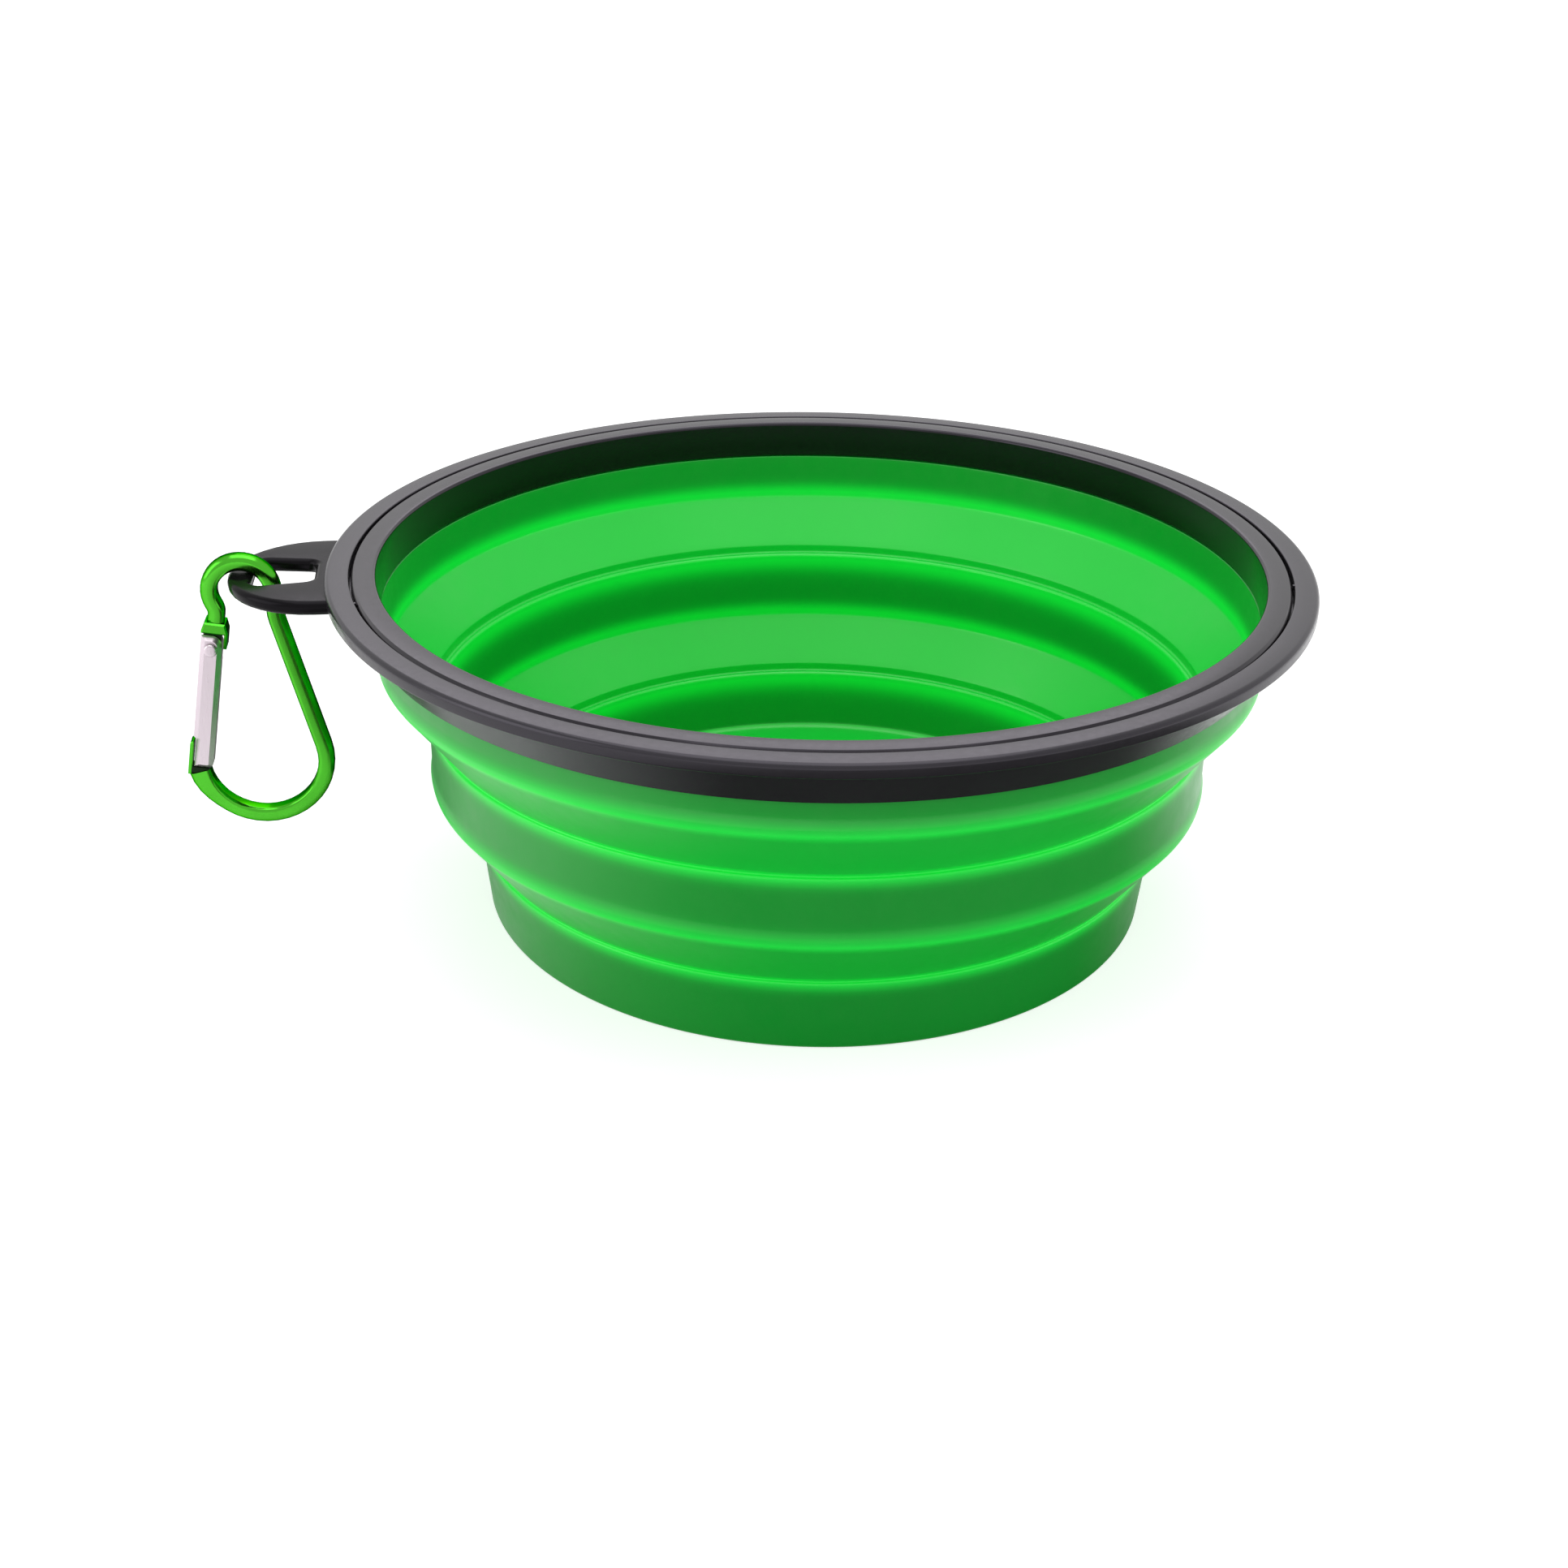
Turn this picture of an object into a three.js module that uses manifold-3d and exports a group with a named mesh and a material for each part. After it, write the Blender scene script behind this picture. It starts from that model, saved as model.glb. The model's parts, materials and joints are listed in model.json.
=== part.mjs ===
// Collapsible pet bowl: a folding three-tier bowl held in a two-piece rim, with a carabiner on the rim's ear.
// Millimetres, +Z up. The origin is on the bowl's axis at the underside of the base. The ear points along -X.
import * as THREE from "three";
import { mergeVertices } from "three/addons/utils/BufferGeometryUtils.js";
import Module from "manifold-3d";

const wasm = await Module();
wasm.setup();

// Gaps between neighbouring pieces
const CLEARANCE = 0.3;
const PIVOT_CLEARANCE = 0.2;

// Bowl tiers, from the base up; their radii follow from the rim's
const BASE_DRAFT = 1.4;
const BASE_EDGE = 0.9;
const FLOOR_THICKNESS = 2.6;
const FLOOR_FILLET = 1.6;
const BASE_WALL_HEIGHT = 13.7;
const FOLD_STEP = 8.3;
const FOLD_HEIGHT = 11.8;
const MIDDLE_WALL_HEIGHT = 13.0;
const UPPER_WALL_HEIGHT = 9.3;
const WALL = 1.8;
const FOLD_WEB = 1.6;

// Bead that locks the top of the bowl between the two rim rings
const GRIP_OFFSET = 1.5;
const GRIP_WEB = 0.9;
const GRIP_WEB_HEIGHT = 1.8;
const BEAD_WIDTH = 1.9;
const BEAD_HEIGHT = 2.9;

// Rim rings
const RIM_RADIUS = 90;
const LIP_WIDTH = 4.4;
const RIM_DEPTH = 7.1;
const RIM_EDGE = 0.9;
const RIM_LIP_HEIGHT = 2.3;
const SKIRT_WALL = 0.9;
const SKIRT_DROP = 2.6;
const SKIRT_FLARE = 2.5;
const CLAMP_WALL = 1.4;
const CLAMP_DRAFT = 0.5;
const CLAMP_FLANGE_REACH = 4.4;
const CLAMP_EDGE = 1.1;
const CLAMP_CHAMFER = 0.8;
const SEAM_CHAMFER = 0.5;

// Ear with the slot for the carabiner
const EAR_RADIUS = 16.2;
const EAR_STANDOFF = 1.0;
const EAR_THICKNESS = 2.6;
const EAR_DROP = 0.8;
const EAR_EDGE = 1.1;
const EAR_ROOT = 0.4;
const BAR_WIDTH = 4.2;
const SLOT_STANDOFF = 1.8;
const SLOT_INNER_HALF = 4.8;
const SLOT_OUTER_HALF = 6.6;
const SLOT_CORNER = 2.0;

// Carabiner body: a bent bar, measured from the centre of its hook
const STOCK_WIDTH = 3.3;
const STOCK_DEPTH = 3.6;
const STOCK_CORNER = 1.1;
const HOOK_START_ANGLE = 205;
const HOOK_DROP = 3.5;
const SPINE_STRAIGHT = 3.5;
const SPINE_BEND_RADIUS = 10;
const SPINE_LEAN = 13.5;
const SPINE_LENGTH = 25.7;
const LOOP_RADIUS = 11.5;
const NOSE_ANGLE = 188;
const HINGE_OUT = 0.25;
const HINGE_DROP = 8.3;
const BLOCK_HEIGHT = 2.9;
const BLOCK_OVERHANG = 1.05;
const BLOCK_SHOULDER = 0.4;
const STOP_THICKNESS = 0.75;
const NOSE_LIP_THICKNESS = 0.7;
const NOSE_LIP_DEPTH = 3.0;
const NOSE_LIP_LENGTH = 5.4;
const NOSE_LIP_FOOT = 0.8;

// Gate, measured from its rivet
const GATE_WIDTH = 3.9;
const GATE_DEPTH = 4.3;
const GATE_EDGE = 0.45;
const GATE_TOE = 0.8;
const GATE_RECESS = 0.45;
const NOSE_GAP = 0.9;
const FORK_GAP = 2.7;
const FORK_CLEARANCE = 0.4;
const TONGUE_WIDTH = 3.0;
const CAM_CHAMFER = 0.3;
const RIVET_RADIUS = 0.75;
const RIVET_HEAD_RADIUS = 1.25;
const RIVET_CROWN_RADIUS = 0.7;
const RIVET_HEAD_HEIGHT = 0.55;
const BORE_RADIUS = 1.2;
const BORE_DEPTH = 8.2;
const PLUNGER_HEAD = 1.2;
const PLUNGER_DOME = 0.45;
const PLUNGER_STEM = 2.0;
const SPRING_WIRE = 0.3;
const SPRING_TURNS = 7;

// Fineness of the round surfaces
const RING_FACETS = 64;
const SMALL_FACETS = 16;
const BAR_STEPS = 64;
const SPRING_STEPS_PER_TURN = 10;
const EDGE_STEPS = 3;

// Heights where the tiers meet
const baseTop = BASE_WALL_HEIGHT;
const middleBottom = baseTop + FOLD_HEIGHT;
const middleTop = middleBottom + MIDDLE_WALL_HEIGHT;
const upperBottom = middleTop + FOLD_HEIGHT;
const shoulder = upperBottom + UPPER_WALL_HEIGHT;
const rimTop = shoulder + CLEARANCE + RIM_DEPTH;

// Radii of the rim rings and of the bead between them, from the rim's outer edge inwards
const seamOuter = RIM_RADIUS - LIP_WIDTH;
const seamInner = seamOuter - CLEARANCE;
const clampInnerTop = seamInner - CLAMP_FLANGE_REACH;
const clampInnerBottom = clampInnerTop - CLAMP_DRAFT;
const clampOuter = clampInnerBottom + CLAMP_WALL;
const webInner = clampOuter + CLEARANCE;
const webOuter = webInner + GRIP_WEB;
const beadOuter = webInner + BEAD_WIDTH;

// Heights of the bead and of the clamp ring over it
const webBottom = shoulder + GRIP_WEB;
const beadBottom = webBottom + GRIP_WEB_HEIGHT - CLEARANCE;
const beadTop = beadBottom + BEAD_HEIGHT;
const clampUnderside = beadTop + CLEARANCE;

// Outside radii of the tiers, from the rim inwards
const upperRadius = webOuter - GRIP_OFFSET;
const middleRadius = upperRadius - FOLD_STEP;
const baseTopRadius = middleRadius - FOLD_STEP;
const baseRadius = baseTopRadius - BASE_DRAFT;

const degrees = THREE.MathUtils.degToRad;
const point = (x, y) => new THREE.Vector2(x, y);

// A geometry as a solid that can be joined and cut
function solidOf(geometry) {
  const bare = geometry.clone();
  bare.deleteAttribute("normal");
  bare.deleteAttribute("uv");
  const merged = mergeVertices(bare, 1e-3);
  return new wasm.Manifold(
    new wasm.Mesh({
      numProp: 3,
      vertProperties: merged.attributes.position.array,
      triVerts: new Uint32Array(merged.index.array),
    }),
  );
}

// A solid back as a flat-shaded geometry
function geometryOf(solid) {
  const mesh = solid.getMesh();
  const geometry = new THREE.BufferGeometry();
  geometry.setAttribute("position", new THREE.BufferAttribute(mesh.vertProperties, 3));
  geometry.setIndex(new THREE.BufferAttribute(mesh.triVerts, 1));
  const flat = geometry.toNonIndexed();
  flat.computeVertexNormals();
  return flat;
}

// A ring or disc about +Z from a section of [radius, height] points, counterclockwise
function turned(section, facets = RING_FACETS) {
  const points = section.map(([radius, height]) => point(radius, height));
  return new THREE.LatheGeometry(points, facets).rotateX(Math.PI / 2);
}

// A ring whose section closes on itself
function turnedRing(section) {
  return turned([...section, section[0]]);
}

// A quarter-round edge as [radius, height] points about a centre, from one angle to another
function arcPoints(x, y, radius, from, to, steps = EDGE_STEPS) {
  return Array.from({ length: steps + 1 }, (_, i) => {
    const angle = degrees(from + ((to - from) * i) / steps);
    return [x + radius * Math.cos(angle), y + radius * Math.sin(angle)];
  });
}

// An outline in the XZ plane pushed out evenly to both sides in Y, with rounded edges where edge is over 0
function plate(outline, depth, edge = 0) {
  const shape = Array.isArray(outline) ? new THREE.Shape(outline.map(([x, z]) => point(x, z))) : outline;
  const geometry = new THREE.ExtrudeGeometry(shape, {
    depth: depth - 2 * edge,
    bevelEnabled: edge > 0,
    bevelThickness: edge,
    bevelSize: edge,
    bevelOffset: -edge,
    bevelSegments: EDGE_STEPS - 1,
    curveSegments: SMALL_FACETS / 2,
  });
  return geometry.translate(0, 0, edge - depth / 2).rotateX(Math.PI / 2);
}

// A flat path in the XZ plane, read as a curve in space
class FlatCurve extends THREE.Curve {
  constructor(path) {
    super();
    this.path = path;
  }
  getPoint(t, target = new THREE.Vector3()) {
    const p = this.path.getPointAt(t);
    return target.set(p.x, 0, p.y);
  }
}

// The line of a coil spring that runs down from height top to height bottom
class CoilCurve extends THREE.Curve {
  constructor(radius, top, bottom, turns) {
    super();
    Object.assign(this, { radius, top, bottom, turns });
  }
  getPoint(t, target = new THREE.Vector3()) {
    const angle = 2 * Math.PI * this.turns * t;
    const height = this.top + (this.bottom - this.top) * t;
    return target.set(this.radius * Math.cos(angle), this.radius * Math.sin(angle), height);
  }
}

// A rectangle with rounded corners, centred on its middle
function roundedRectangle(width, height, corner) {
  const x = width / 2 - corner;
  const y = height / 2 - corner;
  const shape = new THREE.Shape();
  shape.absarc(x, y, corner, 0, Math.PI / 2);
  shape.absarc(-x, y, corner, Math.PI / 2, Math.PI);
  shape.absarc(-x, -y, corner, Math.PI, 1.5 * Math.PI);
  shape.absarc(x, -y, corner, 1.5 * Math.PI, 2 * Math.PI);
  return shape;
}

const part = new THREE.Group();

// A named piece with its own material
function piece(name, geometry, colour, roughness, metalness, parent = part) {
  const material = new THREE.MeshStandardMaterial({ color: colour, roughness, metalness });
  const mesh = new THREE.Mesh(geometry, material);
  mesh.name = name;
  parent.add(mesh);
  return mesh;
}

const GREEN_RUBBER = 0x1fae3d;
const DARK_PLASTIC = 0x38373b;
const GREEN_METAL = 0x3fae24;
const BRIGHT_METAL = 0xd6d2d4;
const STEEL = 0x9a9a9c;

// Base cup: the floor and the lowest wall
function baseCup() {
  const top = baseTop - CLEARANCE / 2;
  const innerFoot = baseRadius - WALL;
  return turned([
    [0, 0],
    [baseRadius - BASE_EDGE, 0],
    [baseRadius, BASE_EDGE],
    [baseTopRadius, top],
    [baseTopRadius - WALL, top],
    [innerFoot, FLOOR_THICKNESS + FLOOR_FILLET],
    [innerFoot - FLOOR_FILLET, FLOOR_THICKNESS],
    [0, FLOOR_THICKNESS],
  ]);
}

// Folding cone between two tiers, from its lower outside radius and height
function foldWeb(lowerRadius, lowerHeight) {
  const bottom = lowerHeight + CLEARANCE / 2;
  const top = lowerHeight + FOLD_HEIGHT - CLEARANCE / 2;
  const upper = lowerRadius + FOLD_STEP;
  return turnedRing([
    [lowerRadius - FOLD_WEB, bottom],
    [lowerRadius, bottom],
    [upper, top],
    [upper - FOLD_WEB, top],
  ]);
}

// Middle tier: a plain upright wall
function middleWall() {
  const bottom = middleBottom + CLEARANCE / 2;
  const top = middleTop - CLEARANCE / 2;
  return turnedRing([
    [middleRadius - WALL, bottom],
    [middleRadius, bottom],
    [middleRadius, top],
    [middleRadius - WALL, top],
  ]);
}

// Upper tier: the wall, its shoulder under the clamp ring, and the bead that locks it in the rim
function upperWall() {
  return turnedRing([
    [upperRadius - WALL, upperBottom + CLEARANCE / 2],
    [upperRadius, upperBottom + CLEARANCE / 2],
    [upperRadius, webBottom - GRIP_OFFSET],
    [webOuter, webBottom],
    [webOuter, beadBottom],
    [beadOuter, beadBottom],
    [beadOuter, beadTop],
    [webInner, beadTop],
    [webInner, webBottom],
    [webInner - GRIP_WEB, shoulder],
    [upperRadius - WALL, shoulder],
  ]);
}

// Outer rim ring: flat lip on top, skirt below, pocket for the bead inside
function outerRing() {
  const skirtInner = upperRadius + CLEARANCE;
  const jogTop = webBottom - CLEARANCE / 2;
  const jogBottom = jogTop - GRIP_OFFSET;
  const skirtBottom = shoulder - SKIRT_DROP;
  const skirtOuter = skirtInner + SKIRT_WALL;
  const pocketOuter = beadOuter + CLEARANCE;
  const pocketBottom = beadBottom - CLEARANCE;
  const seat = clampUnderside - CLEARANCE;
  const lipBottom = rimTop - RIM_LIP_HEIGHT;
  const flareTop = pocketBottom - CLEARANCE;
  const flareOuter = skirtOuter + SKIRT_FLARE;
  const underLip = lipBottom - RIM_EDGE;
  return turnedRing([
    [skirtInner, skirtBottom],
    [skirtOuter, skirtBottom],
    [flareOuter, flareTop],
    [flareOuter + RIM_EDGE, flareTop + RIM_EDGE],
    [RIM_RADIUS - RIM_EDGE, underLip + RIM_EDGE / 2],
    [RIM_RADIUS, lipBottom],
    ...arcPoints(RIM_RADIUS - RIM_EDGE, rimTop - RIM_EDGE, RIM_EDGE, 0, 90),
    [seamOuter + CLEARANCE, rimTop],
    [seamOuter, rimTop - CLEARANCE],
    [seamOuter, seat],
    [pocketOuter, seat],
    [pocketOuter, pocketBottom],
    [webOuter + CLEARANCE, pocketBottom],
    [webOuter + CLEARANCE, jogTop],
    [skirtInner, jogBottom],
  ]);
}

const earTop = rimTop - EAR_DROP;
const earCentre = RIM_RADIUS + EAR_STANDOFF;
const earEnd = earCentre + EAR_RADIUS;
const barInner = earEnd - BAR_WIDTH;

// Ear outline seen from above, with its slot
function earOutline() {
  const root = -(seamOuter + EAR_ROOT);
  const outline = new THREE.Shape();
  outline.moveTo(root, -EAR_RADIUS);
  outline.lineTo(root, EAR_RADIUS);
  outline.lineTo(-earCentre, EAR_RADIUS);
  outline.absarc(-earCentre, 0, EAR_RADIUS, Math.PI / 2, 1.5 * Math.PI);
  const outer = -barInner;
  const inner = -(RIM_RADIUS + SLOT_STANDOFF);
  const slot = new THREE.Path();
  slot.moveTo(inner, -SLOT_INNER_HALF + SLOT_CORNER);
  slot.lineTo(inner, SLOT_INNER_HALF - SLOT_CORNER);
  slot.quadraticCurveTo(inner, SLOT_INNER_HALF, inner - SLOT_CORNER, SLOT_INNER_HALF);
  slot.lineTo(outer + SLOT_CORNER, SLOT_OUTER_HALF);
  slot.quadraticCurveTo(outer, SLOT_OUTER_HALF, outer, SLOT_OUTER_HALF - SLOT_CORNER);
  slot.lineTo(outer, -SLOT_OUTER_HALF + SLOT_CORNER);
  slot.quadraticCurveTo(outer, -SLOT_OUTER_HALF, outer + SLOT_CORNER, -SLOT_OUTER_HALF);
  slot.lineTo(inner - SLOT_CORNER, -SLOT_INNER_HALF);
  slot.quadraticCurveTo(inner, -SLOT_INNER_HALF, inner, -SLOT_INNER_HALF + SLOT_CORNER);
  outline.holes.push(slot);
  return outline;
}

// The ear as a plate with rounded edges, level with the rim's lip
function ear() {
  return new THREE.ExtrudeGeometry(earOutline(), {
    depth: EAR_THICKNESS - 2 * EAR_EDGE,
    bevelThickness: EAR_EDGE,
    bevelSize: EAR_EDGE,
    bevelOffset: -EAR_EDGE,
    bevelSegments: EDGE_STEPS,
    curveSegments: SMALL_FACETS,
  }).translate(0, 0, earTop - EAR_THICKNESS + EAR_EDGE);
}

// Inner rim ring: a flange that closes the seam and a wall that holds the bowl's shoulder down
function clampRing() {
  const bottom = rimTop - RIM_DEPTH;
  return turnedRing([
    [clampInnerBottom, bottom],
    [clampOuter - CLAMP_CHAMFER, bottom],
    [clampOuter, bottom + CLAMP_CHAMFER],
    [clampOuter, clampUnderside],
    [seamInner, clampUnderside],
    [seamInner, rimTop - SEAM_CHAMFER],
    [seamInner - SEAM_CHAMFER, rimTop],
    ...arcPoints(clampInnerTop + CLAMP_EDGE, rimTop - CLAMP_EDGE, CLAMP_EDGE, 90, 180),
  ]);
}

piece("base_cup", baseCup(), GREEN_RUBBER, 0.5, 0);
piece("lower_fold", foldWeb(baseTopRadius, baseTop), GREEN_RUBBER, 0.5, 0);
piece("middle_wall", middleWall(), GREEN_RUBBER, 0.5, 0);
piece("upper_fold", foldWeb(middleRadius, middleTop), GREEN_RUBBER, 0.5, 0);
piece("upper_wall", upperWall(), GREEN_RUBBER, 0.5, 0);
piece("rim_clamp_ring", clampRing(), DARK_PLASTIC, 0.45, 0);
piece("rim_outer_ring", geometryOf(solidOf(outerRing()).add(solidOf(ear()))), DARK_PLASTIC, 0.45, 0);

// Carabiner frame: its origin is the centre of the hook, under the middle of the ear's bar.
// The hook is just wide enough for the bar's rounded upper corners to turn in it.
const barReach = Math.hypot(BAR_WIDTH / 2 - EAR_EDGE, HOOK_DROP - EAR_EDGE) + EAR_EDGE;
const hookRadius = barReach + CLEARANCE + STOCK_WIDTH / 2;
const carabiner = new THREE.Group();
carabiner.position.set(-(earEnd - BAR_WIDTH / 2), 0, earTop - HOOK_DROP);
part.add(carabiner);

// Bottom of the loop, where the leaning spine runs into its arc
const lean = degrees(SPINE_LEAN);
const bendEnd = point(
  hookRadius + SPINE_BEND_RADIUS * (1 - Math.cos(lean)),
  -SPINE_STRAIGHT - SPINE_BEND_RADIUS * Math.sin(lean),
);
const spineEnd = point(
  bendEnd.x + SPINE_LENGTH * Math.sin(lean),
  bendEnd.y - SPINE_LENGTH * Math.cos(lean),
);
const loopCentre = point(
  spineEnd.x - LOOP_RADIUS * Math.cos(lean),
  spineEnd.y - LOOP_RADIUS * Math.sin(lean),
);
const nose = point(
  loopCentre.x + LOOP_RADIUS * Math.cos(degrees(NOSE_ANGLE)),
  loopCentre.y + LOOP_RADIUS * Math.sin(degrees(NOSE_ANGLE)),
);

// Gate frame: its origin is the rivet, its -Z runs down the gate to the nose, its +X points into the loop
const hinge = point(-(hookRadius + HINGE_OUT), -HINGE_DROP);
const gateRun = hinge.distanceTo(nose);
const gateLean = Math.atan2(hinge.x - nose.x, hinge.y - nose.y);
const gateHalf = GATE_WIDTH / 2;
const rivetDrop = gateHalf + CLEARANCE;
const gateFrame = new THREE.Group();
gateFrame.position.set(
  hinge.x - rivetDrop * Math.sin(gateLean),
  0,
  hinge.y - rivetDrop * Math.cos(gateLean),
);
gateFrame.rotation.y = gateLean;
gateFrame.updateMatrix();
carabiner.add(gateFrame);

const noseDrop = gateRun - rivetDrop;
const gateBottom = noseDrop - NOSE_GAP;
const tongueHalf = TONGUE_WIDTH / 2;
const camOffset = tongueHalf - CAM_CHAMFER;
const camReach = Math.hypot(camOffset, tongueHalf);
const forkBottom = camReach + FORK_CLEARANCE;
const pivotHoleRadius = RIVET_RADIUS + PIVOT_CLEARANCE;

// A cylinder along Y through the rivet's place, longer than anything it cuts
function rivetHole() {
  return new THREE.CylinderGeometry(pivotHoleRadius, pivotHoleRadius, 2 * GATE_DEPTH, SMALL_FACETS);
}

// The bent bar: leg, hook, spine and bottom arc
function bentBar() {
  const start = point(
    hinge.x + (BLOCK_HEIGHT / 2) * Math.sin(gateLean),
    hinge.y + (BLOCK_HEIGHT / 2) * Math.cos(gateLean),
  );
  const hookStart = degrees(HOOK_START_ANGLE);
  const hookFoot = point(hookRadius * Math.cos(hookStart), hookRadius * Math.sin(hookStart));
  const pull = (start.distanceTo(hookFoot) - BLOCK_HEIGHT / 2) / 2;
  const path = new THREE.Path();
  path.moveTo(start.x, start.y);
  path.bezierCurveTo(
    start.x + 2 * pull * Math.sin(gateLean),
    start.y + 2 * pull * Math.cos(gateLean),
    hookFoot.x - pull * Math.sin(hookStart),
    hookFoot.y + pull * Math.cos(hookStart),
    hookFoot.x,
    hookFoot.y,
  );
  path.absarc(0, 0, hookRadius, hookStart, 0, true);
  path.lineTo(hookRadius, -SPINE_STRAIGHT);
  path.absarc(hookRadius + SPINE_BEND_RADIUS, -SPINE_STRAIGHT, SPINE_BEND_RADIUS, Math.PI, Math.PI + lean);
  path.lineTo(spineEnd.x, spineEnd.y);
  path.absarc(loopCentre.x, loopCentre.y, LOOP_RADIUS, lean, degrees(NOSE_ANGLE) - 2 * Math.PI, true);
  return new THREE.ExtrudeGeometry(roundedRectangle(STOCK_DEPTH, STOCK_WIDTH, STOCK_CORNER), {
    steps: BAR_STEPS,
    curveSegments: 2,
    extrudePath: new FlatCurve(path),
  });
}

// Block at the hinge end, with the stop that runs down inside the loop beside the gate's top
function hingeBlock() {
  const bottom = rivetDrop;
  const top = rivetDrop + BLOCK_HEIGHT;
  const stopInner = gateHalf + CLEARANCE;
  const stopOuter = stopInner + STOP_THICKNESS;
  const outer = -gateHalf;
  const neck = STOCK_WIDTH / 2;
  return plate(
    [
      [outer, bottom],
      [stopInner, bottom],
      [stopInner, 0],
      [stopOuter, 0],
      [stopOuter, top - BLOCK_OVERHANG],
      [neck, top],
      [-neck, top],
      [outer, top - BLOCK_SHOULDER],
    ],
    GATE_DEPTH,
    GATE_EDGE / 2,
  );
}

// Tongue that the gate's fork straddles: round outside, with a cam corner for the plunger inside
function tongue() {
  const shape = new THREE.Shape();
  shape.moveTo(tongueHalf, rivetDrop + BLOCK_HEIGHT / 2);
  shape.lineTo(-tongueHalf, rivetDrop + BLOCK_HEIGHT / 2);
  shape.lineTo(-tongueHalf, 0);
  shape.absarc(0, 0, tongueHalf, Math.PI, 1.5 * Math.PI);
  shape.lineTo(camOffset, -tongueHalf);
  shape.lineTo(tongueHalf, -camOffset);
  return plate(shape, FORK_GAP - 2 * CLEARANCE);
}

// Lip that rises from the nose along the gate's outer side, so that the gate opens inwards only
function noseLip() {
  const inner = -(gateHalf - GATE_RECESS + CLEARANCE);
  const outer = inner - NOSE_LIP_THICKNESS;
  const top = -(gateBottom - NOSE_LIP_LENGTH);
  const foot = -noseDrop - NOSE_LIP_FOOT;
  return plate(
    [
      [outer, top - NOSE_LIP_THICKNESS],
      [outer, foot],
      [-NOSE_LIP_FOOT, foot - 2 * NOSE_LIP_FOOT],
      [-NOSE_LIP_FOOT, foot],
      [inner, -noseDrop],
      [inner, top],
    ],
    NOSE_LIP_DEPTH,
  );
}

// The carabiner body in one solid, in the carabiner's frame
function carabinerBody() {
  const fitted = (geometry) => solidOf(geometry.applyMatrix4(gateFrame.matrix));
  return geometryOf(
    solidOf(bentBar())
      .add(fitted(hingeBlock()))
      .add(fitted(tongue()))
      .add(fitted(noseLip()))
      .subtract(fitted(rivetHole())),
  );
}

// Gate: a bar with a fork at the rivet, a bore for the spring and a recess for the nose lip
function gate() {
  const recessTop = -(gateBottom - NOSE_LIP_LENGTH - CLEARANCE - GATE_RECESS);
  const shape = new THREE.Shape();
  shape.moveTo(-gateHalf, gateHalf);
  shape.lineTo(-gateHalf, recessTop);
  shape.lineTo(-gateHalf + GATE_RECESS, recessTop - GATE_RECESS);
  shape.lineTo(-gateHalf + GATE_RECESS, -gateBottom);
  shape.lineTo(gateHalf - GATE_TOE, -gateBottom);
  shape.lineTo(gateHalf, -gateBottom + GATE_TOE);
  shape.lineTo(gateHalf, 0);
  shape.absarc(0, 0, gateHalf, 0, Math.PI / 2);
  const forkHeight = 2 * GATE_WIDTH;
  const fork = new THREE.BoxGeometry(forkHeight, FORK_GAP, forkHeight);
  fork.translate(0, 0, forkHeight / 2 - forkBottom);
  const bore = new THREE.CylinderGeometry(BORE_RADIUS, BORE_RADIUS, 2 * BORE_DEPTH, SMALL_FACETS);
  bore.rotateX(Math.PI / 2).translate(0, 0, -forkBottom);
  return geometryOf(
    solidOf(plate(shape, GATE_DEPTH, GATE_EDGE))
      .subtract(solidOf(fork))
      .subtract(solidOf(bore))
      .subtract(solidOf(rivetHole())),
  );
}

// Rivet along Y, with a domed head on each side of the gate
function rivet() {
  const seat = GATE_DEPTH / 2 + PIVOT_CLEARANCE;
  const end = seat + RIVET_HEAD_HEIGHT;
  const half = [
    [RIVET_RADIUS, seat],
    [RIVET_HEAD_RADIUS, seat],
    [RIVET_HEAD_RADIUS, seat + RIVET_HEAD_HEIGHT / 2],
    [RIVET_CROWN_RADIUS, end],
    [0, end],
  ];
  const lower = half.map(([radius, height]) => [radius, -height]).reverse();
  return new THREE.LatheGeometry(
    [...lower, ...half].map(([radius, height]) => point(radius, height)),
    SMALL_FACETS,
  );
}

const plungerTop = -(camReach + PIVOT_CLEARANCE);
const plungerSeat = plungerTop - PLUNGER_HEAD;
const plungerRadius = BORE_RADIUS - CLEARANCE;
const springRadius = plungerRadius - SPRING_WIRE / 2;
const stemRadius = springRadius - SPRING_WIRE / 2 - PIVOT_CLEARANCE;

// Plunger that the spring pushes against the tongue: a domed head and a stem inside the spring
function plunger() {
  return turned(
    [
      [0, plungerSeat - PLUNGER_STEM],
      [stemRadius, plungerSeat - PLUNGER_STEM],
      [stemRadius, plungerSeat],
      [plungerRadius, plungerSeat],
      [plungerRadius, plungerTop - PLUNGER_DOME],
      [plungerRadius - PLUNGER_DOME, plungerTop],
      [0, plungerTop],
    ],
    SMALL_FACETS,
  );
}

// Coil spring between the plunger's head and the end of the bore
function spring() {
  const top = plungerSeat - CLEARANCE - SPRING_WIRE / 2;
  const bottom = -(forkBottom + BORE_DEPTH) + CLEARANCE + SPRING_WIRE / 2;
  const section = new THREE.Shape().absarc(0, 0, SPRING_WIRE / 2, 0, 2 * Math.PI);
  return new THREE.ExtrudeGeometry(section, {
    steps: SPRING_TURNS * SPRING_STEPS_PER_TURN,
    curveSegments: 3,
    extrudePath: new CoilCurve(springRadius, top, bottom, SPRING_TURNS),
  });
}

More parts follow.
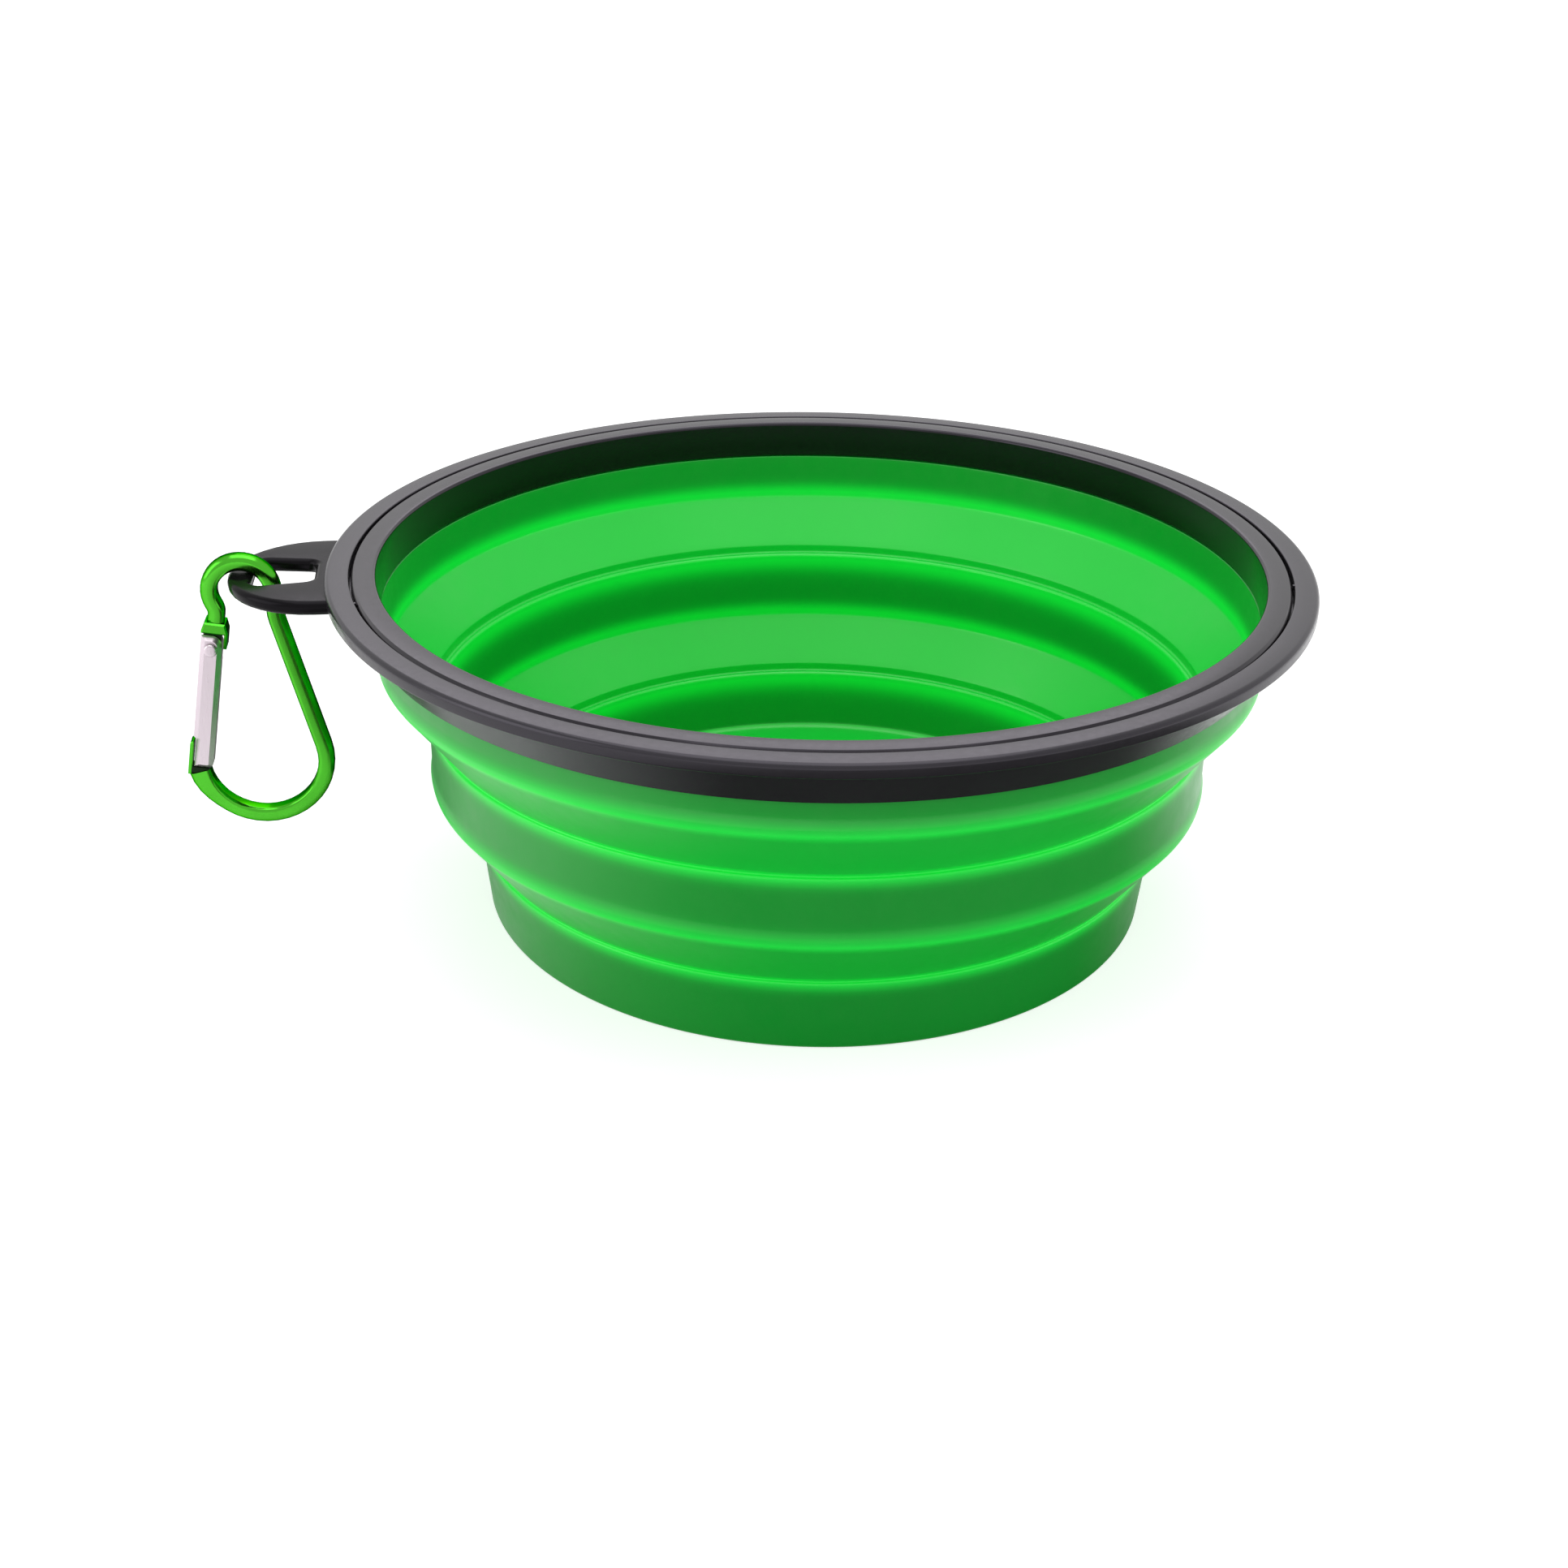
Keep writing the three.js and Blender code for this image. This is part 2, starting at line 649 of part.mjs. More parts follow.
const hanging = [
  piece("carabiner_body", carabinerBody(), GREEN_METAL, 0.25, 0.9, carabiner),
  piece("carabiner_gate", gate(), BRIGHT_METAL, 0.3, 0.9, gateFrame),
];
piece("gate_rivet", rivet(), BRIGHT_METAL, 0.3, 0.9, gateFrame);
piece("gate_plunger", plunger(), STEEL, 0.35, 0.9, gateFrame);
piece("gate_spring", spring(), STEEL, 0.35, 0.9, gateFrame);

// The balance point of some pieces in the carabiner's frame, from their triangles
function balancePoint(meshes) {
  const sum = new THREE.Vector3();
  const corners = [new THREE.Vector3(), new THREE.Vector3(), new THREE.Vector3()];
  const inverse = carabiner.matrixWorld.clone().invert();
  let volume = 0;
  for (const mesh of meshes) {
    const positions = mesh.geometry.getAttribute("position");
    const place = inverse.clone().multiply(mesh.matrixWorld);
    for (let i = 0; i < positions.count; i += 3) {
      corners.forEach((corner, k) => corner.fromBufferAttribute(positions, i + k).applyMatrix4(place));
      const [a, b, c] = corners;
      const tetrahedron = a.dot(b.clone().cross(c)) / 6;
      sum.addScaledVector(a.clone().add(b).add(c), tetrahedron / 4);
      volume += tetrahedron;
    }
  }
  return sum.divideScalar(volume);
}

// The carabiner hangs freely, so it is turned until its balance point lies under the ear's bar
part.updateMatrixWorld(true);
const balance = balancePoint(hanging);
carabiner.rotation.y = Math.atan2(balance.x, -balance.z);

export default part;
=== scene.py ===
"""Collapsible pet bowl: the finished look of the folding bowl, its rim and its carabiner.

The pieces are built in metres around the CAD frame, and ride on its bodies.
"""

import json
import math

import bmesh
import bpy
from bpy.props import FloatProperty, FloatVectorProperty, PointerProperty
from mathutils import Matrix, Vector
from mathutils.geometry import interpolate_bezier


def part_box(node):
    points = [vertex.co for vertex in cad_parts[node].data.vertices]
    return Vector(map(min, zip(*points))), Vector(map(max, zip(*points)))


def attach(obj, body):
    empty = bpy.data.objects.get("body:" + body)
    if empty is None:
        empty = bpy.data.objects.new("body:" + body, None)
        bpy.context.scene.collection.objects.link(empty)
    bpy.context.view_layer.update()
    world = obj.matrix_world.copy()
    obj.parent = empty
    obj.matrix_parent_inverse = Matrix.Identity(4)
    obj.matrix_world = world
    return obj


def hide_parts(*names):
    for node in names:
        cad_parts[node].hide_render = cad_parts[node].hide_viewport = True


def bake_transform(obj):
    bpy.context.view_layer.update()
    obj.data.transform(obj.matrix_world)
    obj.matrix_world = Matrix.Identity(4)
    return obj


bl_info = {
    "name": "Collapsible Pet Bowl",
    "version": (1, 0, 0),
    "blender": (4, 5, 0),
    "location": "View3D > Sidebar > Pet Bowl",
    "description": "Builds a folding pet bowl with its rim, carabiner and studio",
    "category": "Object",
}

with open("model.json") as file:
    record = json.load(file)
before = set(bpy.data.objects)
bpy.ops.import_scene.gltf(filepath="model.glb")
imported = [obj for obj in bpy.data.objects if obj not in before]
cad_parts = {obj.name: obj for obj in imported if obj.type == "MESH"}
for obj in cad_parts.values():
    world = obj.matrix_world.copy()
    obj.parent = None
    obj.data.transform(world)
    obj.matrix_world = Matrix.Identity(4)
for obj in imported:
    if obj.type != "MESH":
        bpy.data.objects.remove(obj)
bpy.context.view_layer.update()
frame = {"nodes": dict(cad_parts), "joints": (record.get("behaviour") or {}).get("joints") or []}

MM = 0.001
X, Y, Z = range(3)
# Points in the full turn of a turned piece, and the most that an arc turns between two points
TURN_STEPS = 240
ARC_STEP = math.radians(9)
# Edges whose faces meet at more than this angle stay sharp
SMOOTH_ANGLE = math.radians(32)
# Share of a side that one rounded corner may take up
MOST_SETBACK = 0.85
# Limits how far a sharp corner runs out when its outline is inset
LEAST_MITRE = 0.5
# Share of a piece's faces that has to be left when another is joined to it or cut out of it
LEAST_FACES_LEFT = 0.5
WELD_DISTANCE = 0.001 * MM

# Values between which most of a noise lies
NOISE_LOW = 0.3
NOISE_HIGH = 0.7
# Places of the factor, the two colours and the result in a Mix node's sockets
MIX_FACTOR = 0
MIX_FIRST = 6
MIX_SECOND = 7
MIX_RESULT = 2
# Tints of the shine on the plastic and at the edges of the anodised bar
PLASTIC_SHINE = (0.86, 0.8, 0.94, 1)
ANODISED_SHINE = (0.04, 0.12, 0.04, 1)
# How much rougher the plastic is in places
PLASTIC_WEAR = 0.07


def lowest(node, axis):
    """The lowest coordinate of a CAD node along one axis."""
    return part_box(node)[0][axis]


def highest(node, axis):
    """The highest coordinate of a CAD node along one axis."""
    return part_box(node)[1][axis]


def joint(name):
    """The record's joint of that name."""
    return next(entry for entry in frame["joints"] if entry["name"] == name)


# Radii and heights that the CAD nodes give
BASE_RADIUS = highest("base_cup", X)
MIDDLE_RADIUS = highest("middle_wall", X)
UPPER_RADIUS = highest("upper_fold", X)
BEAD_RADIUS = highest("upper_wall", X)
SEAM_RADIUS = highest("rim_clamp_ring", X)
RIM_RADIUS = highest("rim_outer_ring", Y)
EAR_END = -lowest("rim_outer_ring", X)
CREASES = (
    highest("upper_fold", Z),
    lowest("upper_fold", Z),
    highest("lower_fold", Z),
    lowest("lower_fold", Z),
)
CLAMP_BOTTOM = lowest("rim_clamp_ring", Z)
BEAD_TOP = highest("upper_wall", Z)
SKIRT_BOTTOM = lowest("rim_outer_ring", Z)
RIM_TOP = highest("rim_clamp_ring", Z)
PIVOT = Vector(joint("carabiner_swing")["pos_m"])
RIVET = Vector(joint("gate_hinge")["pos_m"])

# The bowl's bead, which the two rings grip, and the web under it
BEAD_WIDTH = 1.9 * MM
BEAD_HEIGHT = 2.9 * MM
BEAD_WEB = 0.9 * MM
# How far the outer ledge at a cone's foot rises inwards
LEDGE_RISE = 0.1 * MM
# Inner radius of the clamp ring's lower edge
CLAMP_INNER = SEAM_RADIUS - 4.9 * MM
# Moulding nibs that bridge the seam: their turns about the bowl's axis from +X, and their sizes
NIB_TURNS = (math.radians(-167.5), math.radians(-16.3))
NIB_HEIGHT = 0.9 * MM
NIB_EDGE = 0.1 * MM
NIB_DROP = 0.55 * MM

# Where the gate's hinge lies from the hook's centre, and the rivet and the bar's neck from the hinge
HINGE_OUT = 0.25 * MM
HINGE_DROP = 8.3 * MM
RIVET_SPARE = 0.3 * MM
NECK_SHIFT = 0.35 * MM
NECK_POINTS = 14
# The hinge block, the gap under it and the tongue that it carries
BLOCK_HEIGHT = 2.9 * MM
BLOCK_EDGE = 0.3 * MM
BLOCK_GAP = 0.5 * MM
TONGUE_DEPTH = 2.1 * MM
# The gate's head over the rivet, its fork, and the gap between its foot and the nose
GATE_CROWN = 0.6 * MM
FORK_DEPTH = 2.7 * MM
NOSE_GAP = 0.9 * MM
# The swell of the bar towards the nose, the lip that stands on it and the near-black tip beside that, which
# is painted shade
SWELL_RUN = 9 * MM
LIP_OVERLAP = 0.15 * MM
LIP_THICKNESS = 0.7 * MM
LIP_HEIGHT = 5.4 * MM
LIP_DEPTH = 3.0 * MM
LIP_EDGE = 0.15 * MM
TIP_DEPTH = 2.9 * MM
TIP_EDGE = 0.2 * MM


class BowlSizes(bpy.types.PropertyGroup):
    """Sizes of the rubber bowl that the CAD nodes leave plain."""

    wall: FloatProperty(
        name="Wall", description="Thickness of the upright walls", default=1.8 * MM, unit="LENGTH"
    )
    web: FloatProperty(
        name="Web", description="Thickness of the folding cones", default=1.75 * MM, unit="LENGTH"
    )
    floor: FloatProperty(
        name="Floor", description="Thickness of the floor", default=2.6 * MM, unit="LENGTH"
    )
    draft: FloatProperty(
        name="Draft", description="Taper of the base wall", default=1.4 * MM, unit="LENGTH"
    )
    ledge: FloatProperty(
        name="Ledge",
        description="Step outside where a cone stands on a wall",
        default=0.55 * MM,
        unit="LENGTH",
    )
    bead: FloatProperty(
        name="Bead",
        description="How far a wall's lower edge swells outwards",
        default=0.35 * MM,
        unit="LENGTH",
    )
    fold_radius: FloatProperty(
        name="Fold radius",
        description="Rounding where a wall turns into a cone",
        default=1.1 * MM,
        unit="LENGTH",
    )
    foot_radius: FloatProperty(
        name="Foot radius", description="Rounding under the base", default=0.5 * MM, unit="LENGTH"
    )
    # How far the painted glow spreads from a crease
    glow_reach: FloatProperty(
        name="Glow reach",
        description="How far light spreads from a thin crease",
        default=2.2 * MM,
        unit="LENGTH",
    )


class RimSizes(bpy.types.PropertyGroup):
    """Sizes of the two rim rings and the ear."""

    edge: FloatProperty(
        name="Edge", description="Rounding of the rim's outer edge", default=0.9 * MM, unit="LENGTH"
    )
    inner_edge: FloatProperty(
        name="Inner edge",
        description="Rounding of the clamp ring's inner edge",
        default=0.7 * MM,
        unit="LENGTH",
    )
    seam: FloatProperty(
        name="Seam", description="Gap between the two rings", default=0.36 * MM, unit="LENGTH"
    )
    seam_chamfer: FloatProperty(
        name="Seam chamfer", description="Chamfer along the seam", default=0.5 * MM, unit="LENGTH"
    )
    lip_height: FloatProperty(
        name="Lip height", description="Height of the lip's side", default=2.3 * MM, unit="LENGTH"
    )
    skirt: FloatProperty(
        name="Skirt", description="Thickness of the skirt", default=0.9 * MM, unit="LENGTH"
    )
    flare: FloatProperty(
        name="Flare", description="How far the skirt flares out", default=3.5 * MM, unit="LENGTH"
    )
    ear_radius: FloatProperty(
        name="Ear radius", description="Radius of the ear's round end", default=16.2 * MM, unit="LENGTH"
    )
    ear_thickness: FloatProperty(
        name="Ear thickness", description="Thickness of the ear", default=2.6 * MM, unit="LENGTH"
    )
    ear_drop: FloatProperty(
        name="Ear drop", description="Step from the rim down to the ear", default=0.8 * MM, unit="LENGTH"
    )
    ear_edge: FloatProperty(
        name="Ear edge", description="Rounding of the ear's edges", default=1.1 * MM, unit="LENGTH"
    )
    bar: FloatProperty(
        name="Bar", description="Width of the bar outside the slot", default=4.6 * MM, unit="LENGTH"
    )
    slot_standoff: FloatProperty(
        name="Slot standoff", description="Gap from the rim to the slot", default=1.8 * MM, unit="LENGTH"
    )
    slot_inner: FloatProperty(
        name="Slot inner half",
        description="Half the slot's width near the rim",
        default=4.8 * MM,
        unit="LENGTH",
    )
    slot_outer: FloatProperty(
        name="Slot outer half",
        description="Half the slot's width at the bar",
        default=6.6 * MM,
        unit="LENGTH",
    )
    slot_corner: FloatProperty(
        name="Slot corner", description="Radius of the slot's corners", default=2.0 * MM, unit="LENGTH"
    )


class CarabinerSizes(bpy.types.PropertyGroup):
    """Sizes of the carabiner's bent bar and its gate."""

    stock_width: FloatProperty(
        name="Stock width", description="Bar width in the loop's plane", default=3.05 * MM, unit="LENGTH"
    )
    stock_depth: FloatProperty(
        name="Stock depth", description="Bar depth across the loop", default=3.4 * MM, unit="LENGTH"
    )
    inner_corner: FloatProperty(
        name="Inner corner",
        description="Rounding of the bar inside the loop",
        default=0.8 * MM,
        unit="LENGTH",
    )
    outer_corner: FloatProperty(
        name="Outer corner",
        description="Rounding of the bar outside the loop",
        default=1.4 * MM,
        unit="LENGTH",
    )
    hook_radius: FloatProperty(
        name="Hook radius", description="Radius of the hook's centre line", default=5.65 * MM, unit="LENGTH"
    )
    spine_straight: FloatProperty(
        name="Upright", description="Straight run below the hook", default=3.5 * MM, unit="LENGTH"
    )
    spine_bend: FloatProperty(
        name="Spine bend", description="Radius of the bend into the spine", default=10.0 * MM, unit="LENGTH"
    )
    spine_length: FloatProperty(
        name="Spine length", description="Length of the leaning spine", default=25.7 * MM, unit="LENGTH"
    )
    spine_lean: FloatProperty(
        name="Spine lean", description="Lean of the spine", default=math.radians(13.5), subtype="ANGLE"
    )
    loop_radius: FloatProperty(
        name="Loop radius", description="Radius of the bottom arc", default=11.5 * MM, unit="LENGTH"
    )
    nose_angle: FloatProperty(
        name="Nose angle", description="Where the bottom arc ends", default=math.radians(188), subtype="ANGLE"
    )
    hook_angle: FloatProperty(
        name="Hook angle",
        description="Where the hook's arc starts",
        default=math.radians(205),
        subtype="ANGLE",
    )
    gate_width: FloatProperty(
        name="Gate width", description="Width of the gate", default=3.9 * MM, unit="LENGTH"
    )
    gate_depth: FloatProperty(
        name="Gate depth", description="Depth of the gate", default=4.3 * MM, unit="LENGTH"
    )
    gate_edge: FloatProperty(
        name="Gate edge", description="Chamfer of the gate's edges", default=0.85 * MM, unit="LENGTH"
    )


class Finishes(bpy.types.PropertyGroup):
    """Colours of the finishes."""

    rubber: FloatVectorProperty(
        name="Rubber", description="Green rubber of the bowl", default=(0.0015, 0.335, 0.025), subtype="COLOR"
    )
    # Colour of the painted glow: the lighter green mixed in where light would come through the rubber
    painted_glow_green: FloatVectorProperty(
        name="Painted glow green",
        description="Green where light passes",
        default=(0.006, 0.92, 0.064),
        subtype="COLOR",
    )
    plastic: FloatVectorProperty(
        name="Plastic",
        description="Plastic of the outer ring",
        default=(0.0145, 0.0135, 0.0155),
        subtype="COLOR",
    )
    clamp: FloatVectorProperty(
        name="Clamp",
        description="Plastic of the clamp ring",
        default=(0.0045, 0.004, 0.0046),
        subtype="COLOR",
    )
    anodised: FloatVectorProperty(
        name="Anodised", description="Green of the carabiner", default=(0.07, 0.43, 0.028), subtype="COLOR"
    )
    bright: FloatVectorProperty(
        name="Bright metal", description="Metal of the gate", default=(0.62, 0.54, 0.59), subtype="COLOR"
    )
    steel: FloatVectorProperty(
        name="Steel", description="Steel of the spring and plunger", default=(0.5, 0.5, 0.51), subtype="COLOR"
    )


class StageSizes(bpy.types.PropertyGroup):
    """Camera and studio."""

    camera_place: FloatVectorProperty(
        name="Camera", description="Place of the camera", default=(-0.0512, -0.35976, 0.20051), subtype="XYZ"
    )
    camera_pan: FloatProperty(
        name="Pan",
        description="Turn of the camera from +Y to +X",
        default=math.radians(7.13),
        subtype="ANGLE",
    )
    camera_tilt: FloatProperty(
        name="Tilt",
        description="How far the camera looks down",
        default=math.radians(26.565),
        subtype="ANGLE",
    )
    camera_roll: FloatProperty(
        name="Roll", description="Roll of the camera", default=math.radians(0.84), subtype="ANGLE"
    )
    camera_view: FloatProperty(
        name="View", description="Angle of view", default=math.radians(41.22), subtype="ANGLE"
    )
    floor_half: FloatProperty(
        name="Floor half", description="Half the floor's width", default=6.0, unit="LENGTH"
    )
    ambient: FloatProperty(name="Ambient", description="Light from all round", default=0.55)


def sizes(group):
    """One of the scene's property groups."""
    return getattr(bpy.context.scene, "pet_bowl_" + group)


def between(low, high, value):
    """How far a value is from a low to a high one, from 0 to 1."""
    return min(max((value - low) / (high - low), 0), 1)


def eased(share):
    """A share from 0 to 1 that starts and ends gently."""
    return share * share * (3 - 2 * share)


def arc(centre, radius, start, end):
    """Points of an arc about a centre, from one angle to another."""
    steps = max(2, math.ceil(abs(end - start) / ARC_STEP))
    angles = [start + (end - start) * step / steps for step in range(steps + 1)]
    return [Vector((centre[0] + radius * math.cos(a), centre[1] + radius * math.sin(a))) for a in angles]


def rounded(corners):
    """The points of a closed outline whose corners, as (x, y, radius), are turned into arcs."""
    points = []
    for index, (x, y, radius) in enumerate(corners):
        corner = Vector((x, y))
        if radius == 0:
            points.append(corner)
            continue
        before = Vector(corners[index - 1][:2]) - corner
        after = Vector(corners[(index + 1) % len(corners)][:2]) - corner
        half = before.angle(after) / 2
        setback = min(radius / math.tan(half), MOST_SETBACK * before.length, MOST_SETBACK * after.length)
        reach = setback * math.tan(half)
        middle = (before.normalized() + after.normalized()).normalized()
        centre = corner + middle * reach / math.sin(half)
        first = corner + before.normalized() * setback - centre
        last = corner + after.normalized() * setback - centre
        start = math.atan2(first.y, first.x)
        turn = math.remainder(math.atan2(last.y, last.x) - start, math.tau)
        points += arc(centre, reach, start, start + turn)
    return points


def smooth(mesh):
    """Smooth shading with sharp edges where the faces meet at a steep angle."""
    mesh.shade_smooth()
    mesh.set_sharp_from_angle(angle=SMOOTH_ANGLE)


def new_piece(name, bm, material):
    """An object from a bmesh, smooth except at its sharp edges, with one material."""
    bmesh.ops.remove_doubles(bm, verts=bm.verts, dist=WELD_DISTANCE)
    bmesh.ops.recalc_face_normals(bm, faces=bm.faces)
    mesh = bpy.data.meshes.new(name)
    bm.to_mesh(mesh)
    bm.free()
    mesh.materials.append(material)
    smooth(mesh)
    piece = bpy.data.objects.new(name, mesh)
    bpy.context.scene.collection.objects.link(piece)
    return piece


def bridge(bm, lower, upper):
    """Faces between two closed rings of vertices, where one of them may be a single vertex."""
    count = max(len(lower), len(upper))
    if count == 1:
        return
    for step in range(count):
        following = (step + 1) % count
        around = [lower[step % len(lower)], lower[following % len(lower)]]
        around += [upper[following % len(upper)], upper[step % len(upper)]]
        bm.faces.new(list(dict.fromkeys(around)))


def turned(section):
    """A bmesh of a closed section of (radius, height), turned about the Z axis."""
    bm = bmesh.new()
    rings = []
    for radius, height in section:
        count = TURN_STEPS if radius > WELD_DISTANCE else 1
        angles = [math.tau * step / TURN_STEPS for step in range(count)]
        rings.append([bm.verts.new((radius * math.cos(a), radius * math.sin(a), height)) for a in angles])
    for lower, upper in zip(rings, rings[1:] + rings[:1]):
        bridge(bm, lower, upper)
    return bm


def inset(outline, distance):
    """An outline moved to the left of its own direction by a distance."""
    moved = []
    for index, here in enumerate(outline):
        before = (here - outline[index - 1]).normalized()
        after = (outline[(index + 1) % len(outline)] - here).normalized()
        sides = [Vector((-before.y, before.x)), Vector((-after.y, after.x))]
        middle = (sides[0] + sides[1]).normalized()
        moved.append(here + middle * distance / max(middle.dot(sides[0]), LEAST_MITRE))
    return moved


def plate(outlines, thickness, edge, chamfered=False):
    """A bmesh of a flat plate about z = 0 with rounded or chamfered edges, or plain ones where edge is 0.

    The first outline runs counterclockwise, and the outlines of holes run clockwise.
    """
    bm = bmesh.new()
    half = thickness / 2
    if edge == 0:
        profile = [(0, -half), (0, half)]
    elif chamfered:
        profile = [(edge, -half), (0, edge - half), (0, half - edge), (edge, half)]
    else:
        profile = arc((edge, edge - half), edge, -math.pi / 2, -math.pi)
        profile += arc((edge, half - edge), edge, math.pi, math.pi / 2)
    caps = [[], []]
    for outline in outlines:
        rings = []
        for distance, height in profile:
            ring = [bm.verts.new((*point, height)) for point in inset(outline, distance)]
            rings.append(ring)
        for lower, upper in zip(rings, rings[1:]):
            bridge(bm, lower, upper)
        for cap, ring in zip(caps, (rings[0], rings[-1])):
            cap += [bm.edges.get((ring[k - 1], ring[k])) for k in range(len(ring))]
    for cap in caps:
        bmesh.ops.triangle_fill(bm, use_beauty=True, use_dissolve=False, edges=cap)
    return bm


def swept(path, section, swell, swell_run):
    """A bmesh of a section of (in plane, across) points, swept along a path whose end swells to its left."""
    bm = bmesh.new()
    rings = []
    steps = [(after - before).length for before, after in zip(path, path[1:])]
    for index, here in enumerate(path):
        before = path[max(index - 1, 0)]
        after = path[min(index + 1, len(path) - 1)]
        along = (after - before).normalized()
        side = Vector((-along.y, along.x))
        bulge = swell * eased(1 - between(0, swell_run, sum(steps[index:])))
        ring = []
        for in_plane, across in section:
            place = here + side * (in_plane + bulge * (in_plane > 0))
            ring.append(bm.verts.new((place.x, across, place.y)))
        rings.append(ring)
    for lower, upper in zip(rings, rings[1:]):
        bridge(bm, lower, upper)
    bm.faces.new(rings[0])
    bm.faces.new(rings[-1])
    return bm


def flat_sheet(name, middle, half_width, half_depth, height, material):
    """A level sheet with one face, about a middle (x, y) at a height."""
    bm = bmesh.new()
    corners = []
    for across, along in ((-1, -1), (1, -1), (1, 1), (-1, 1)):
        place = (middle[0] + across * half_width, middle[1] + along * half_depth, height)
        corners.append(bm.verts.new(place))
    bm.faces.new(corners)
    return new_piece(name, bm, material)


def combine(piece, tool, operation):
    """Joins a tool object to a piece or cuts it out of it, and removes the tool."""
    modifier = piece.modifiers.new(operation.title(), "BOOLEAN")
    modifier.operation = operation
    modifier.solver = "EXACT"
    modifier.material_mode = "TRANSFER"
    modifier.object = tool
    graph = bpy.context.evaluated_depsgraph_get()
    mesh = bpy.data.meshes.new_from_object(piece.evaluated_get(graph))
    if len(mesh.polygons) < LEAST_FACES_LEFT * len(piece.data.polygons):
        raise RuntimeError(f"{operation} of {tool.name} broke {piece.name}")
    plain = piece.data
    piece.modifiers.clear()
    piece.data = mesh
    mesh.name = plain.name
    bpy.data.meshes.remove(plain)
    bpy.data.objects.remove(tool)
    smooth(mesh)


def add_node(tree, kind, **values):
    """A shader node with its sockets and settings filled in by name."""
    node = tree.nodes.new(kind)
    for key, value in values.items():
        socket = node.inputs.get(key.replace("_", " "))
        if socket is None:
            setattr(node, key, value)
        elif isinstance(value, bpy.types.NodeSocket):
            tree.links.new(value, socket)
        else:
            socket.default_value = value
    return node


def joined(tree, node, *sockets):
    """The first output of a node whose first inputs are linked to sockets, in order."""
    for index, socket in enumerate(sockets):
        tree.links.new(socket, node.inputs[index])
    return node.outputs[0]


def new_material(name):
    """A material with only a Principled shader in it, its node tree and that shader."""
    material = bpy.data.materials.new(name)
    material.use_nodes = True
    shader = material.node_tree.nodes["Principled BSDF"]
    return material, material.node_tree, shader


def noise(tree, scale, stretch=(1, 1, 1), detail=4.0):
    """A noise value from 0 to 1 at a scale in features per metre, in object space."""
    place = add_node(tree, "ShaderNodeTexCoord").outputs["Object"]
    mapping = add_node(tree, "ShaderNodeMapping", Vector=place, Scale=stretch)
    texture = add_node(tree, "ShaderNodeTexNoise", Vector=mapping.outputs[0], Scale=scale, Detail=detail)
    return texture.outputs[0]


def spread(tree, value, low, high, start=NOISE_LOW, end=NOISE_HIGH):
    """A value between start and end, spread over the range from low to high."""
    node = add_node(tree, "ShaderNodeMapRange", Value=value, To_Min=low, To_Max=high)
    node.inputs["From Min"].default_value = start
    node.inputs["From Max"].default_value = end
    return node.outputs["Result"]


def mixed(tree, factor, first, second):
    """A colour between two colours, by the value of a socket."""
    node = add_node(tree, "ShaderNodeMix", data_type="RGBA")
    tree.links.new(factor, node.inputs[MIX_FACTOR])
    for index, value in ((MIX_FIRST, first), (MIX_SECOND, second)):
        if isinstance(value, bpy.types.NodeSocket):
            tree.links.new(value, node.inputs[index])
        else:
            node.inputs[index].default_value = (*value, 1)
    return node.outputs[MIX_RESULT]


def varied(tree, factor, colour, low, high):
    """A colour that goes from one share of itself to another, by the value of a socket."""
    first, second = (tuple(share * channel for channel in colour) for share in (low, high))
    return mixed(tree, factor, first, second)


def dress(tree, shader, colour, roughness, **fixed):
    """Links a colour and a roughness to a shader, and sets the inputs that are the same all over."""
    tree.links.new(colour, shader.inputs["Base Color"])
    tree.links.new(roughness, shader.inputs["Roughness"])
    for name, value in fixed.items():
        shader.inputs[name.replace("_", " ")].default_value = value


def bumped(tree, shader, height, strength, depth):
    """Adds a layer of bump to a shader, over the layers that it has."""
    bump = add_node(tree, "ShaderNodeBump", Height=height, Strength=strength, Distance=depth)
    normal = shader.inputs["Normal"]
    if normal.is_linked:
        tree.links.new(normal.links[0].from_socket, bump.inputs["Normal"])
    tree.links.new(bump.outputs["Normal"], normal)


def bowl_rubber():
    """Satin moulded green rubber, lighter where it is thinner: a painted glow that stands in for light coming
    through.
    """
    finishes = sizes("finishes")
    material, tree, shader = new_material("bowl_rubber")
    painted_glow = add_node(tree, "ShaderNodeAttribute", attribute_name="painted_glow").outputs["Fac"]
    mottle = spread(tree, noise(tree, scale=55), low=0, high=0.16)
    body = varied(tree, mottle, finishes.rubber, low=1, high=0.8)
    # Painted glow: the per-vertex share mixes the body green towards a lighter green at the creases and cones
    colour = mixed(tree, painted_glow, body, finishes.painted_glow_green)
    dress(tree, shader, colour, spread(tree, noise(tree, scale=260), low=0.3, high=0.38))
    bumped(tree, shader, noise(tree, scale=180), strength=0.12, depth=0.05 * MM)
    bumped(tree, shader, noise(tree, scale=3200), strength=0.1, depth=0.02 * MM)
    return material


def rim_plastic(name, grey, roughness, shine):
    """Dark grey plastic with a fine moulded grain."""
    material, tree, shader = new_material(name)
    cloud = spread(tree, noise(tree, scale=70), low=0, high=1)
    colour = varied(tree, cloud, grey, low=0.88, high=1.12)
    worn = spread(tree, noise(tree, scale=900), low=roughness, high=roughness + PLASTIC_WEAR)
    dress(tree, shader, colour, worn, Specular_IOR_Level=shine, Specular_Tint=PLASTIC_SHINE)
    bumped(tree, shader, noise(tree, scale=45), strength=0.2, depth=0.1 * MM)
    bumped(tree, shader, noise(tree, scale=4200, detail=2.0), strength=0.15, depth=0.02 * MM)
    return material


